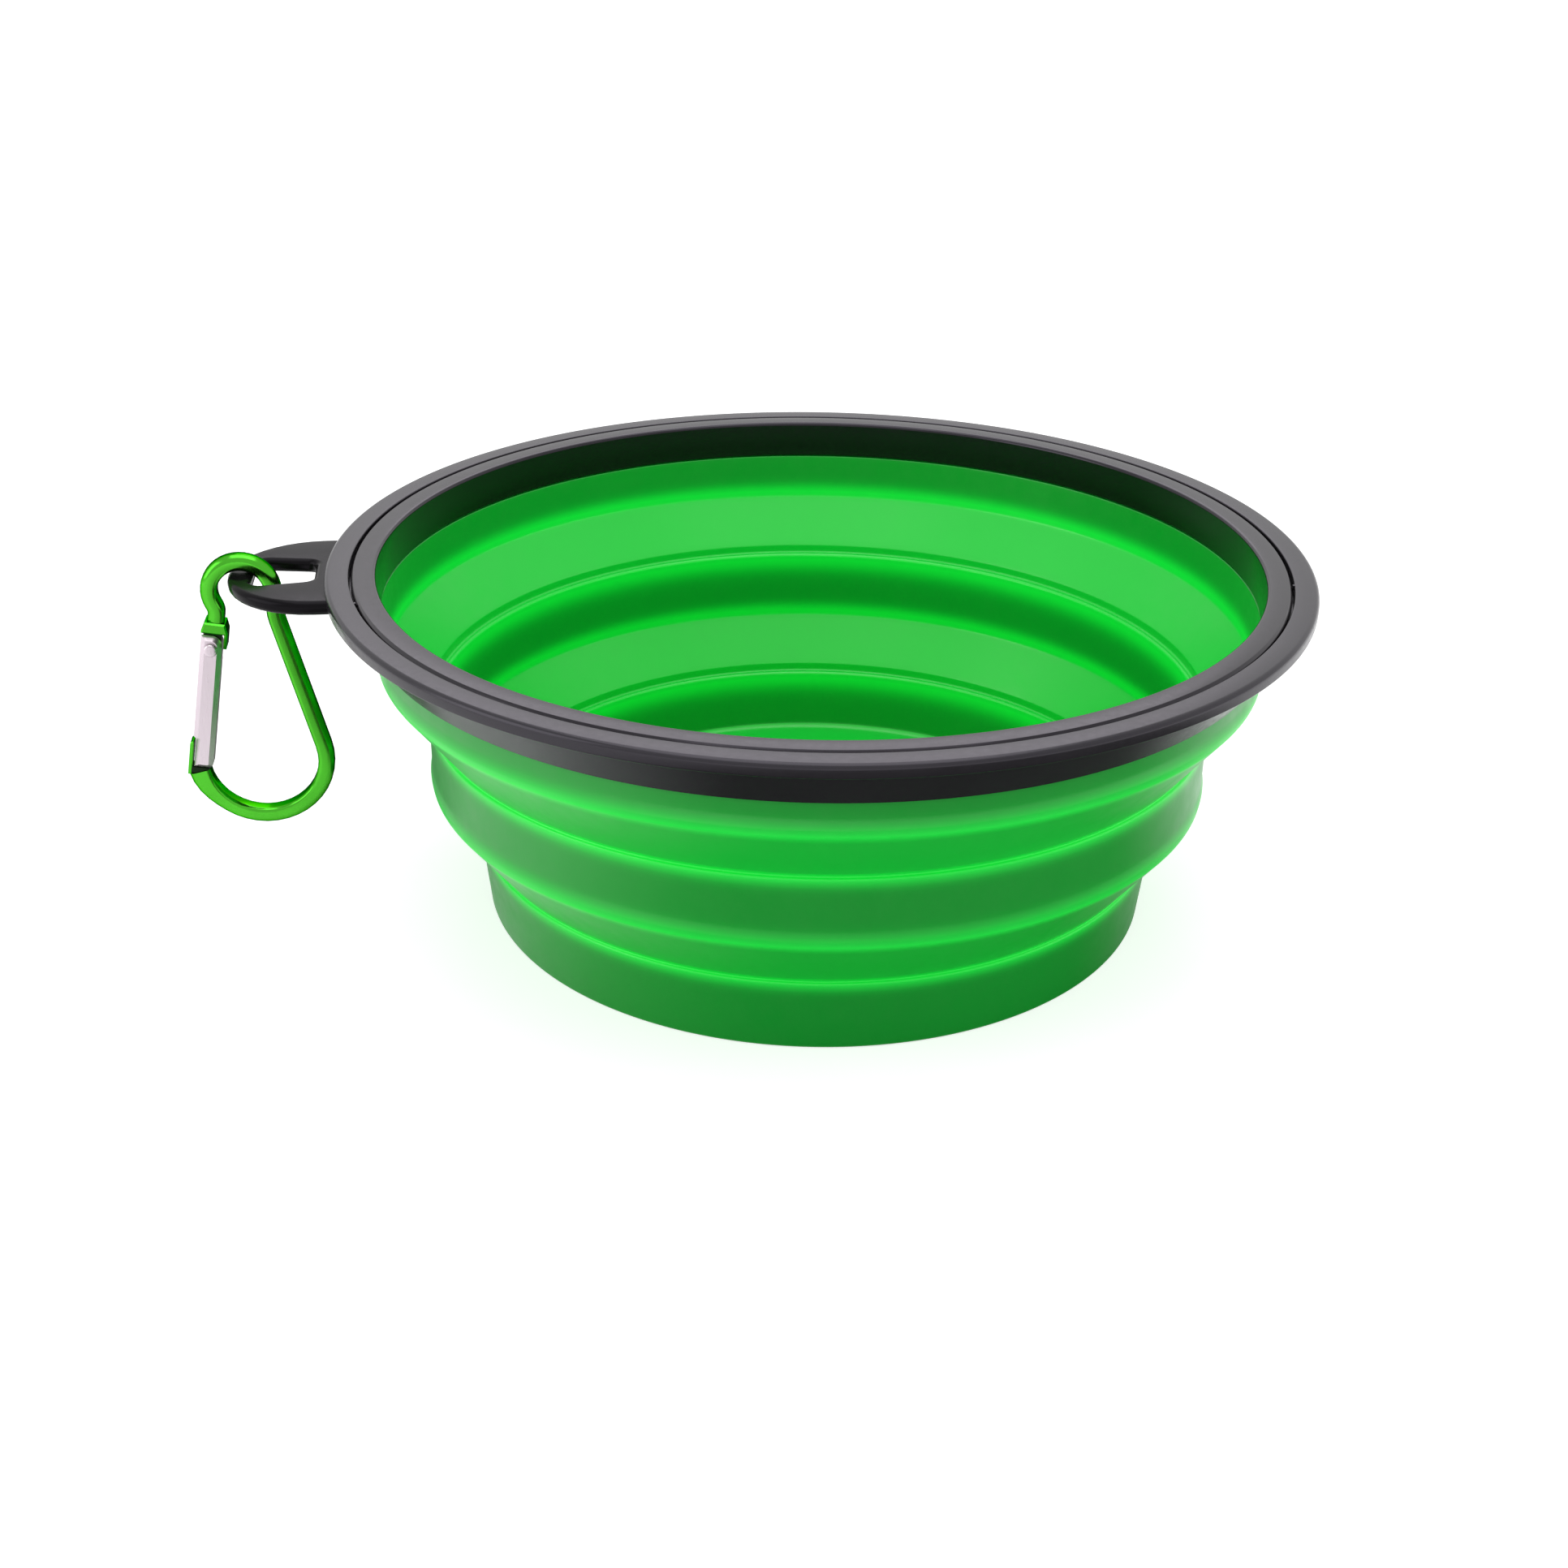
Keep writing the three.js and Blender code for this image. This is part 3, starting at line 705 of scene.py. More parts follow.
def anodised_green():
    """Glossy green anodised metal with faint polishing lines."""
    material, tree, shader = new_material("anodised_green")
    cloud = spread(tree, noise(tree, scale=160), low=0, high=1)
    colour = varied(tree, cloud, sizes("finishes").anodised, low=0.9, high=1.05)
    lines = spread(tree, noise(tree, scale=600, stretch=(6, 1, 1)), low=0.13, high=0.22)
    dress(tree, shader, colour, lines, Metallic=1, Specular_Tint=ANODISED_SHINE)
    bumped(tree, shader, noise(tree, scale=500), strength=0.05, depth=0.02 * MM)
    return material


def painted_shade_notch():
    """Matt near-black green, painted shade for the notch at the nose and the tongue in the gate's fork."""
    material, tree, shader = new_material("painted_shade_notch")
    cloud = noise(tree, scale=600)
    colour = varied(tree, cloud, sizes("finishes").anodised, low=0.02, high=0.04)
    dress(tree, shader, colour, spread(tree, cloud, low=0.55, high=0.7), Specular_IOR_Level=0.2)
    bumped(tree, shader, cloud, strength=0.1, depth=0.02 * MM)
    return material


def satin_metal():
    """Bare satin metal, brushed along the gate."""
    material, tree, shader = new_material("satin_metal")
    brushed = noise(tree, scale=500, stretch=(8, 8, 0.4))
    share = spread(tree, brushed, low=0, high=1)
    colour = varied(tree, share, sizes("finishes").bright, low=0.93, high=1)
    dress(tree, shader, colour, spread(tree, brushed, low=0.26, high=0.4), Metallic=1)
    bumped(tree, shader, brushed, strength=0.06, depth=0.02 * MM)
    return material


def wire_steel():
    """Drawn steel of the spring and the plunger."""
    material, tree, shader = new_material("wire_steel")
    drawn = noise(tree, scale=1500)
    share = spread(tree, drawn, low=0, high=1)
    colour = varied(tree, share, sizes("finishes").steel, low=0.8, high=1)
    dress(tree, shader, colour, spread(tree, drawn, low=0.28, high=0.42), Metallic=1)
    bumped(tree, shader, drawn, strength=0.08, depth=0.02 * MM)
    return material


# Painted glow for light coming through the cones and the floor, where a crease has 1
CONE_LIGHT = 0.47
FLOOR_LIGHT = 0.45
# How much higher a crease's painted glow shows inside than outside: at a cone's head and at its foot
INSIDE_SHIFT = (1.2 * MM, 0.45 * MM)
# How far the painted glow spreads over the wall above a cone and over the wall below it, outside and inside
GLOW_SPREAD = {False: (1.0, 0.7), True: (0.85, 1.3)}
# Longest rise between two points of the bowl's section
SECTION_STEP = 0.8 * MM


def crease_light(height, inside, bowl):
    """Painted glow at a height, standing in for light through the rubber: most at the creases, some in the
    cones.
    """
    creases = [crease + INSIDE_SHIFT[index % 2] * inside for index, crease in enumerate(CREASES)]
    light = FLOOR_LIGHT if inside and height < bowl.floor + SECTION_STEP else 0
    if creases[1] < height < creases[0] or creases[3] < height < creases[2]:
        light = CONE_LIGHT
    for index, crease in enumerate(creases):
        wall_side = 1 if index % 2 == 0 else -1
        offset = (height - crease) * wall_side
        reach = bowl.glow_reach / 2
        if offset > 0:
            reach = bowl.glow_reach * GLOW_SPREAD[inside][index % 2]
        light = max(light, math.exp(-((offset / reach) ** 2)))
    return light


def outside_radius(height):
    """The bowl's plain outer radius at a height: three walls with a cone between each two."""
    radius = BASE_RADIUS - sizes("bowl").draft * (1 - between(0, CREASES[3], height))
    radius += (MIDDLE_RADIUS - BASE_RADIUS) * between(CREASES[3], CREASES[2], height)
    return radius + (UPPER_RADIUS - MIDDLE_RADIUS) * between(CREASES[1], CREASES[0], height)


def finely(points):
    """A closed outline with points added along its long upright and slanting sides."""
    fine = []
    for here, following in zip(points, points[1:] + points[:1]):
        rise = abs(following.y - here.y)
        count = max(1, math.ceil(rise / SECTION_STEP))
        fine += [here.lerp(following, step / count) for step in range(count)]
    return fine


def bowl_piece(name, corners, material, bowl):
    """A turned piece of the bowl, with a painted glow at its creases that stands in for the light they let
    through.
    """
    piece = new_piece(name, turned(finely(rounded(corners))), material)
    # Painted glow: each vertex gets a share of lighter green from its height
    light = []
    for vertex in piece.data.vertices:
        height = vertex.co.z
        inside = vertex.co.xy.length < outside_radius(height) - bowl.wall / 2
        light.append(crease_light(height, inside, bowl))
    painted_glow = piece.data.attributes.new("painted_glow", "FLOAT", "POINT")
    painted_glow.data.foreach_set("value", light)
    return piece


class PETBOWL_OT_bowl(bpy.types.Operator):
    """Build the rubber bowl in two turned pieces, split in the middle wall"""

    bl_idname = "pet_bowl.bowl"
    bl_label = "Bowl"

    def execute(self, context):
        bowl = sizes("bowl")
        material = bowl_rubber()
        split = (2 * CREASES[2] + CREASES[1]) / 3
        upper = bowl_piece("bowl_upper", upper_section(bowl, split), material, bowl)
        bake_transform(upper)
        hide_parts("upper_wall", "upper_fold", "middle_wall")
        lower = bowl_piece("bowl_lower", lower_section(bowl, split), material, bowl)
        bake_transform(lower)
        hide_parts("lower_fold", "base_cup")
        return {"FINISHED"}


def cone_inside(foot, head, web, height):
    """The inside radius of a cone at a height, from its outer line's two ends and its thickness."""
    slope = (head[0] - foot[0]) / (head[1] - foot[1])
    across = web * math.sqrt(1 + slope * slope)
    return foot[0] + slope * (height - foot[1]) - across


def fold_outside(radius, upper_radius, foot, head, bowl):
    """Outside corners of a cone between two walls, from the lower wall up: a ledge, the cone and a bead."""
    ledge_drop = 0.25 * MM
    ledge_edge = 0.5 * MM
    nook = 0.25 * MM
    bead_start = 0.3 * MM
    bead_middle = 1.5 * MM
    bead_round = 1.5 * MM
    bead_end = 3.4 * MM
    bead_fade = 3 * MM
    return [
        (radius, foot - ledge_drop, ledge_edge),
        (radius - bowl.ledge, foot + LEDGE_RISE, nook),
        (upper_radius + bowl.bead / 2, head + bead_start, bowl.fold_radius),
        (upper_radius + bowl.bead, head + bead_middle, bead_round),
        (upper_radius, head + bead_end, bead_fade),
    ]


def fold_inside(radius, upper_radius, foot, head, bowl):
    """Inside corners of a cone between two walls, from the lower wall up: a lip, a groove and the cone."""
    lip_rise = 0.25 * MM
    lip_edge = 0.65 * MM
    groove_drop = 0.1 * MM
    groove_round = 0.45 * MM
    line_rise = 1.7 * MM
    line_edge = 0.6 * MM
    outer_foot = (radius - bowl.ledge, foot + LEDGE_RISE)
    outer_head = (upper_radius, head)
    wall_inside = radius - bowl.wall
    upper_inside = upper_radius - bowl.wall
    slope = (outer_head[0] - outer_foot[0]) / (outer_head[1] - outer_foot[1])
    lip = foot + (wall_inside - cone_inside(outer_foot, outer_head, bowl.web, foot)) / slope
    line_foot = lip + line_rise
    line_head = lip + (upper_inside - wall_inside) / slope
    cone_foot = cone_inside(outer_foot, outer_head, bowl.web, line_foot)
    return [
        (wall_inside, lip + lip_rise, lip_edge),
        (cone_foot, lip - groove_drop, groove_round),
        (cone_foot, line_foot, line_edge),
        (upper_inside, line_head, bowl.fold_radius),
    ]


def upper_section(bowl, split):
    """Section of the upper wall with its bead, the upper cone and the upper part of the middle wall."""
    fold = (MIDDLE_RADIUS, UPPER_RADIUS, CREASES[1], CREASES[0], bowl)
    shoulder = CLAMP_BOTTOM - 0.3 * MM
    shoulder_edge = 0.6 * MM
    clamp_step = 0.1 * MM
    soft = 0.25 * MM
    web_inner = BEAD_RADIUS - BEAD_WIDTH
    web_outer = web_inner + BEAD_WEB
    bead_bottom = BEAD_TOP - BEAD_HEIGHT
    return [
        (MIDDLE_RADIUS, split, 0),
        *fold_outside(*fold),
        (UPPER_RADIUS, shoulder - shoulder_edge, soft),
        (web_outer, shoulder + BEAD_WEB, soft),
        (web_outer, bead_bottom, soft),
        (BEAD_RADIUS, bead_bottom, soft),
        (BEAD_RADIUS, BEAD_TOP, soft),
        (web_inner, BEAD_TOP, soft),
        (web_inner, shoulder + BEAD_WEB, soft),
        (web_inner - BEAD_WEB, shoulder, soft),
        (CLAMP_INNER + clamp_step, shoulder, soft),
        *reversed(fold_inside(*fold)),
        (MIDDLE_RADIUS - bowl.wall, split, 0),
    ]


def lower_section(bowl, split):
    """Section of the lower part of the middle wall, the lower cone and the base cup."""
    fold = (BASE_RADIUS, MIDDLE_RADIUS, CREASES[3], CREASES[2], bowl)
    foot = BASE_RADIUS - bowl.draft
    floor_round = 1.6 * MM
    return [
        (0, 0, 0),
        (foot, 0, bowl.foot_radius),
        *fold_outside(*fold),
        (MIDDLE_RADIUS, split, 0),
        (MIDDLE_RADIUS - bowl.wall, split, 0),
        *reversed(fold_inside(*fold)),
        (foot - bowl.wall, bowl.floor, floor_round),
        (0, bowl.floor, 0),
    ]


class PETBOWL_OT_rim(bpy.types.Operator):
    """Build the outer rim ring with its ear, and the clamp ring inside it"""

    bl_idname = "pet_bowl.rim"
    bl_label = "Rim"

    def execute(self, context):
        rim = sizes("rim")
        finishes = sizes("finishes")
        material = rim_plastic("rim_plastic", finishes.plastic, roughness=0.2, shine=0.42)
        clamp_material = rim_plastic("clamp_plastic", finishes.clamp, roughness=0.15, shine=0.42)
        ear_material = rim_plastic("ear_plastic", finishes.clamp, roughness=0.16, shine=0.08)
        outer = new_piece("rim_outer", turned(rounded(outer_ring_section(rim))), material)
        ear = new_piece("rim_ear", plate(ear_outlines(rim), rim.ear_thickness, rim.ear_edge), ear_material)
        ear.data.transform(Matrix.Translation((0, 0, RIM_TOP - rim.ear_drop - rim.ear_thickness / 2)))
        combine(outer, ear, "UNION")
        for turn in NIB_TURNS:
            nib = new_piece("seam_nib", plate([nib_outline(rim)], NIB_HEIGHT, NIB_EDGE), material)
            lift = Matrix.Translation((0, 0, RIM_TOP - NIB_DROP))
            nib.data.transform(Matrix.Rotation(turn, 4, "Z") @ lift)
            combine(outer, nib, "UNION")
        clamp = new_piece("rim_clamp", turned(rounded(clamp_ring_section(rim))), clamp_material)
        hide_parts("rim_outer_ring")
        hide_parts("rim_clamp_ring")
        for piece in (outer, clamp):
            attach(piece, "rim")
        return {"FINISHED"}


def nib_outline(rim):
    """Outline of a nib that reaches from the outer ring over the seam."""
    half = 0.35 * MM
    clearance = 0.05 * MM
    root = 0.8 * MM
    inner = SEAM_RADIUS + clearance
    outer = SEAM_RADIUS + rim.seam + root
    return rounded([(inner, -half, half / 2), (outer, -half, 0), (outer, half, 0), (inner, half, half / 2)])


def outer_ring_section(rim):
    """Section of the outer ring: flat lip, flared skirt and the pocket for the bowl's bead."""
    fine = 0.12 * MM
    soft = 0.4 * MM
    skirt_edge = 0.3 * MM
    seam_edge = 0.25 * MM
    jog_drop = 1.5 * MM
    gap = rim.seam
    seam = SEAM_RADIUS + gap
    skirt_inner = UPPER_RADIUS + gap
    skirt_outer = skirt_inner + rim.skirt
    pocket = BEAD_RADIUS + gap
    pocket_bottom = BEAD_TOP - BEAD_HEIGHT - gap
    jog = CLAMP_BOTTOM + gap
    web = BEAD_RADIUS - (BEAD_WIDTH - BEAD_WEB) + gap
    flare = skirt_outer + rim.flare
    lip_bottom = RIM_TOP - rim.lip_height
    flare_top = lip_bottom - rim.edge
    return [
        (skirt_inner, SKIRT_BOTTOM, fine),
        (skirt_outer, SKIRT_BOTTOM, skirt_edge),
        (flare, flare_top, soft),
        (RIM_RADIUS - rim.edge, flare_top + rim.edge / 2, soft),
        (RIM_RADIUS, lip_bottom, soft),
        (RIM_RADIUS, RIM_TOP, rim.edge),
        (seam, RIM_TOP, seam_edge),
        (seam, BEAD_TOP, fine),
        (pocket, BEAD_TOP, fine),
        (pocket, pocket_bottom, fine),
        (web, pocket_bottom, fine),
        (web, jog, fine),
        (skirt_inner, jog - jog_drop, fine),
    ]


def clamp_ring_section(rim):
    """Section of the clamp ring: the flange inside the seam and the wall that holds the bowl down."""
    fine = 0.15 * MM
    foot_edge = 0.5 * MM
    wall = 1.4 * MM
    taper = 0.5 * MM
    outer = CLAMP_INNER + wall
    underside = BEAD_TOP + rim.seam
    return [
        (CLAMP_INNER, CLAMP_BOTTOM, fine),
        (outer, CLAMP_BOTTOM, foot_edge),
        (outer, underside, fine),
        (SEAM_RADIUS, underside, fine),
        (SEAM_RADIUS, RIM_TOP - rim.seam_chamfer, fine),
        (SEAM_RADIUS - rim.seam_chamfer, RIM_TOP, fine),
        (CLAMP_INNER + taper, RIM_TOP, rim.inner_edge),
    ]


def ear_outlines(rim):
    """Outline of the ear, counterclockwise, and of its slot, clockwise."""
    overlap = 0.4 * MM
    root = -(SEAM_RADIUS + rim.seam + overlap)
    centre = -(EAR_END - rim.ear_radius)
    outline = [Vector((root, -rim.ear_radius)), Vector((root, rim.ear_radius))]
    outline += arc((centre, 0), rim.ear_radius, math.pi / 2, 1.5 * math.pi)
    inner = -(RIM_RADIUS + rim.slot_standoff)
    outer = -(EAR_END - rim.bar)
    slot = [
        (inner, -rim.slot_inner, rim.slot_corner),
        (outer, -rim.slot_outer, rim.slot_corner),
        (outer, rim.slot_outer, rim.slot_corner),
        (inner, rim.slot_inner, rim.slot_corner),
    ]
    return [outline, rounded(slot)]


class CarabinerLine:
    """The places along the carabiner's bent bar, measured from the hook's centre in the XZ plane."""

    def __init__(self, carabiner):
        lean = carabiner.spine_lean
        self.sizes = carabiner
        self.hook = carabiner.hook_radius
        self.bend_end = Vector(
            (
                self.hook + carabiner.spine_bend * (1 - math.cos(lean)),
                -carabiner.spine_straight - carabiner.spine_bend * math.sin(lean),
            )
        )
        spine = Vector((math.sin(lean), -math.cos(lean)))
        self.spine_end = self.bend_end + spine * carabiner.spine_length
        self.loop_centre = self.spine_end - carabiner.loop_radius * Vector((math.cos(lean), math.sin(lean)))
        nose = Vector((math.cos(carabiner.nose_angle), math.sin(carabiner.nose_angle)))
        self.nose = self.loop_centre + carabiner.loop_radius * nose
        self.hinge = Vector((-(self.hook + HINGE_OUT), -HINGE_DROP))
        self.gate_up = (self.hinge - self.nose).normalized()
        self.rivet_drop = carabiner.gate_width / 2 + RIVET_SPARE
        self.rivet = self.hinge - self.gate_up * self.rivet_drop
        self.nose_drop = (self.hinge - self.nose).length - self.rivet_drop
        self.gate_top = carabiner.gate_width / 2 + GATE_CROWN
        self.gate_bottom = -(self.nose_drop - NOSE_GAP)
        self.lip_inner = carabiner.gate_width / 2 - LIP_OVERLAP
        self.lip_outer = self.lip_inner + LIP_THICKNESS

    def path(self):
        """Centre line of the bar from the hinge block over the hook and down to the nose."""
        carabiner = self.sizes
        start = self.hinge + self.gate_up * BLOCK_HEIGHT / 2 + Vector((NECK_SHIFT, 0))
        hook_way = Vector((math.cos(carabiner.hook_angle), math.sin(carabiner.hook_angle)))
        foot = hook_way * self.hook
        pull = ((foot - start).length - BLOCK_HEIGHT / 2) / 2
        tangent = Vector((-hook_way.y, hook_way.x))
        handles = (start + 2 * pull * self.gate_up, foot + tangent * pull)
        curve = interpolate_bezier(start, *handles, foot, NECK_POINTS)
        points = [Vector(point[:2]) for point in curve][:-1]
        points += arc((0, 0), self.hook, carabiner.hook_angle, 0)
        bend = (self.hook + carabiner.spine_bend, -carabiner.spine_straight)
        points += arc(bend, carabiner.spine_bend, math.pi, math.pi + carabiner.spine_lean)
        end = carabiner.nose_angle - math.tau
        points += arc(self.loop_centre, carabiner.loop_radius, carabiner.spine_lean, end)
        return points

    def place(self):
        """Where the hook's centre and the bar's hang put the carabiner in the part's frame."""
        hang = Vector((RIVET - PIVOT).xz)
        turn = math.atan2(self.rivet.y, self.rivet.x) - math.atan2(hang.y, hang.x)
        return Matrix.Translation(PIVOT) @ Matrix.Rotation(turn, 4, "Y")

    def gate_place(self):
        """The gate's own frame: the rivet at its origin, -Z down the gate, +X into the loop."""
        lean = math.atan2(self.gate_up.x, self.gate_up.y)
        rivet = Matrix.Translation((self.rivet.x, 0, self.rivet.y))
        return self.place() @ rivet @ Matrix.Rotation(lean, 4, "Y")

    def plate_place(self):
        """Where a plate stands whose outline is drawn in the XZ plane of the gate's frame."""
        return self.gate_place() @ Matrix.Rotation(math.pi / 2, 4, "X")


class PETBOWL_OT_carabiner(bpy.types.Operator):
    """Build the carabiner's bent bar with its hinge block, tongue, nose lip and nose tip, the tongue and the
    tip in painted shade
    """

    bl_idname = "pet_bowl.carabiner"
    bl_label = "Carabiner"

    def execute(self, context):
        carabiner = sizes("carabiner")
        line = CarabinerLine(carabiner)
        green = anodised_green()
        # Near-black material, painted shade for the gaps at the fork and at the nose
        painted_shade = painted_shade_notch()
        swell = line.lip_outer - carabiner.stock_width / 2
        bar_mesh = swept(line.path(), bar_section(carabiner), swell, SWELL_RUN)
        bar = new_piece("carabiner_bar", bar_mesh, green)
        bar.data.transform(line.place())
        # The tongue is made in painted shade: near-black where it shows in the gap under the gate's fork
        fittings = (
            ("hinge_block", block_outline(carabiner, line), carabiner.gate_depth, BLOCK_EDGE, green),
            ("tongue", tongue_outline(line), TONGUE_DEPTH, 0, painted_shade),
            ("nose_lip", lip_outline(line), LIP_DEPTH, LIP_EDGE, green),
        )
        for name, outline, depth, edge, material in fittings:
            fitting = new_piece(name, plate([outline], depth, edge, chamfered=True), material)
            fitting.data.transform(line.plate_place())
            combine(bar, fitting, "UNION")
        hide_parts("carabiner_body")
        # The nose tip is painted shade: a near-black piece in the gap between the bar's end and the gate
        tip = new_piece("nose_tip", plate([nose_tip_outline(line)], TIP_DEPTH, TIP_EDGE), painted_shade)
        tip.data.transform(line.plate_place())
        for piece in (bar, tip):
            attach(piece, "carabiner")
        return {"FINISHED"}


def bar_section(carabiner):
    """Section of the bar as (in plane, across) points, with the loop's inside on the negative side."""
    half_width = carabiner.stock_width / 2
    half_depth = carabiner.stock_depth / 2
    return rounded(
        [
            (-half_width, -half_depth, carabiner.inner_corner),
            (half_width, -half_depth, carabiner.outer_corner),
            (half_width, half_depth, carabiner.outer_corner),
            (-half_width, half_depth, carabiner.inner_corner),
        ]
    )


def nose_tip_outline(line):
    """Outline of the low tip in the gap between the bar's end and the gate, in the gate's frame; the tip is
    made in painted shade.
    """
    soft = 0.25 * MM
    inner = 1.35 * MM
    lip_root = 0.3 * MM
    outer = -line.lip_inner - lip_root
    bottom = -line.nose_drop - 0.5 * MM
    top = -line.nose_drop + 0.75 * MM
    return rounded([(outer, bottom, soft), (inner, bottom, soft), (inner, top, soft), (outer, top, soft)])


def block_outline(carabiner, line):
    """Outline of the hinge block and of its stop beside the gate's head, in the gate's frame."""
    half = carabiner.gate_width / 2
    bottom = line.gate_top + BLOCK_GAP
    top = line.rivet_drop + BLOCK_HEIGHT
    stop_inner = half + 0.2 * MM
    stop_outer = stop_inner + 0.6 * MM
    stop_bottom = 0.35 * MM
    stop_rise = 0.4 * MM
    outer_rise = 0.6 * MM
    neck = carabiner.stock_width / 2 + 0.3 * MM
    corners = (
        (-half, bottom),
        (stop_inner, bottom),
        (stop_inner, stop_bottom),
        (stop_outer, stop_bottom),
        (stop_outer, bottom + stop_rise),
        (NECK_SHIFT + neck, top),
        (NECK_SHIFT - neck, top),
        (-half, bottom + outer_rise),
    )
    return [Vector(corner) for corner in corners]


def tongue_outline(line):
    """Outline of the tongue that reaches from the hinge block into the gate's fork, in the gate's frame."""
    half = 1.5 * MM
    corner = 0.45 * MM
    root = 1.4 * MM
    top = line.gate_top + BLOCK_GAP + root
    return rounded([(half, top, 0), (-half, top, 0), (-half, -half, half), (half, -half, corner)])


def lip_outline(line):
    """Outline of the lip that stands up from the nose outside the gate, in the gate's frame."""
    top_edge = 0.25 * MM
    outer_edge = 0.5 * MM
    root = 0.8 * MM
    inner = -line.lip_inner
    outer = -line.lip_outer
    top = line.gate_bottom + LIP_HEIGHT
    foot = -line.nose_drop - root
    return rounded(
        [
            (outer, top - LIP_THICKNESS, outer_edge),
            (outer, foot, 0),
            (inner, foot, 0),
            (inner, top, top_edge),
        ]
    )


class PETBOWL_OT_gate(bpy.types.Operator):
    """Build the gate, its rivet and its spring, and finish the plunger"""

    bl_idname = "pet_bowl.gate"
    bl_label = "Gate"

    def execute(self, context):
        carabiner = sizes("carabiner")
        line = CarabinerLine(carabiner)
        material = satin_metal()
        outline = gate_outline(carabiner, line)
        gate_mesh = plate([outline], carabiner.gate_depth, carabiner.gate_edge, chamfered=True)
        gate = new_piece("gate", gate_mesh, material)
        fork = new_piece("fork", plate([fork_outline()], FORK_DEPTH, 0), material)
        combine(gate, fork, "DIFFERENCE")
        rivet = new_piece("rivet", turned(rounded(rivet_section(carabiner))), material)
        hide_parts("carabiner_gate")
        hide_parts("gate_rivet")
        for piece in (gate, rivet):
            piece.data.transform(line.plate_place())
            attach(piece, "gate")
        steel = wire_steel()
        plunger = frame["nodes"]["gate_plunger"]
        plunger.data.materials.clear()
        plunger.data.materials.append(steel)
        spring = new_piece("spring", coil_mesh(), steel)
        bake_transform(spring)
        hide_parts("gate_spring")
        return {"FINISHED"}


def coil_mesh():
    """A bmesh of the CAD spring's coil."""
    coil = frame["nodes"]["gate_spring"]
    bm = bmesh.new()
    bm.from_mesh(coil.data)
    bm.transform(coil.matrix_world)
    return bm


def gate_outline(carabiner, line):
    """Outline of the gate in its own frame, with the recess for the nose lip."""
    half = carabiner.gate_width / 2
    recess = 0.45 * MM
    recess_spare = 0.3 * MM
    toe = 1.0 * MM
    bottom = line.gate_bottom
    recess_top = bottom + LIP_HEIGHT + recess_spare + recess
    return rounded(
        [
            (-half, line.gate_top, 0),
            (-half, recess_top, 0),
            (recess - half, recess_top - recess, 0),
            (recess - half, bottom, 0),
            (half, bottom, toe),
            (half, line.gate_top, half),
        ]
    )


def fork_outline():
    """Outline of the cut that the tongue stands in."""
    wide = 4 * MM
    bottom = -2.32 * MM
    return [Vector((-wide, bottom)), Vector((wide, bottom)), Vector((wide, wide)), Vector((-wide, wide))]


def rivet_section(carabiner):
    """Section of the rivet with a domed head at each end."""
    seat = carabiner.gate_depth / 2 + 0.05 * MM
    end = seat + 0.7 * MM
    shank = 0.75 * MM
    head = 1.25 * MM
    dome = 0.6 * MM
    head_edge = 0.1 * MM
    return [
        (0, -end, 0),
        (head, -end, dome),
        (head, -seat, head_edge),
        (shank, -seat, 0),
        (shank, seat, 0),
        (head, seat, head_edge),
        (head, end, dome),
        (0, end, 0),
    ]


class PETBOWL_OT_stage(bpy.types.Operator):
    """Build the floor, the soft lamps, the world, the dark cards and the camera"""

    bl_idname = "pet_bowl.stage"
    bl_label = "Stage"

    def execute(self, context):
        stage = sizes("stage")
        scene = context.scene
        scene.view_settings.view_transform = "Standard"
        flat_sheet("floor", (0, 0), stage.floor_half, stage.floor_half, 0, floor_white())
        scene.world = studio_world(stage.ambient)
        for settings in LAMPS:
            lamp(**settings)
        felt = card_black()
        for name, (middle, half_width, half_depth) in DARK_CARDS.items():
            card = flat_sheet(name, middle, half_width, half_depth, CARD_LIFT, felt)
            show_only_in_reflections(card)
        scene.camera = photo_camera(stage)
        return {"FINISHED"}


# Soft square lamps, each of which faces a point on the bowl's axis
LAMPS = (
    {"name": "top_lamp", "place": (0.0, 0.0, 1.1), "target": (0, 0, 0.05), "width": 1.0, "power": 5.6},
    {
        "name": "back_lamp",
        "place": (0.1, 1.15, 1.05),
        "target": (0, 0, 0.05),
        "width": 0.9,
        "power": 3.4,
        "colour": (1, 0.93, 1.03),
    },
    {
        "name": "front_lamp",
        "place": (-0.3, -1.0, 0.55),
        "target": (0, 0, 0.04),
        "width": 0.7,
        "power": 1.7,
        "glossy": False,
    },
    {"name": "left_lamp", "place": (-0.85, -0.2, 0.4), "target": (0, 0, 0.04), "width": 0.6, "power": 2.0},
    {
        "name": "right_lamp",
        "place": (0.85, -0.2, 0.4),
        "target": (0, 0, 0.04),
        "width": 0.6,
        "power": 2.0,
        "glossy": False,
    },
)
# Dark cards on the floor beside the object, which only reflections show: middle, half width and half depth
DARK_CARDS = {
    "bowl_card": ((0.06, -0.165), 0.22, 0.18),
    "carabiner_card": ((-0.065, 0.09), 0.075, 0.13),
}
CARD_LIFT = 0.4 * MM
# Share of a card's radius over which it fades out
CARD_FADE = 0.35
# The floor's own light as the camera sees it: its level near the object and far off, and these distances
NEAR_GLOW = 0.6
FAR_GLOW = 1.0
NEAR_REACH = 0.3
FAR_REACH = 1.0
NEAR_CLIP = 0.01
WHITE = (1, 1, 1, 1)


def grey(level):
    """A neutral colour of a level."""
    return (level, level, level)


def show_only_in_reflections(card):
    """Hides a card from every ray but a glossy one."""
    for ray in ("camera", "diffuse", "transmission", "volume_scatter", "shadow"):
        setattr(card, "visible_" + ray, False)


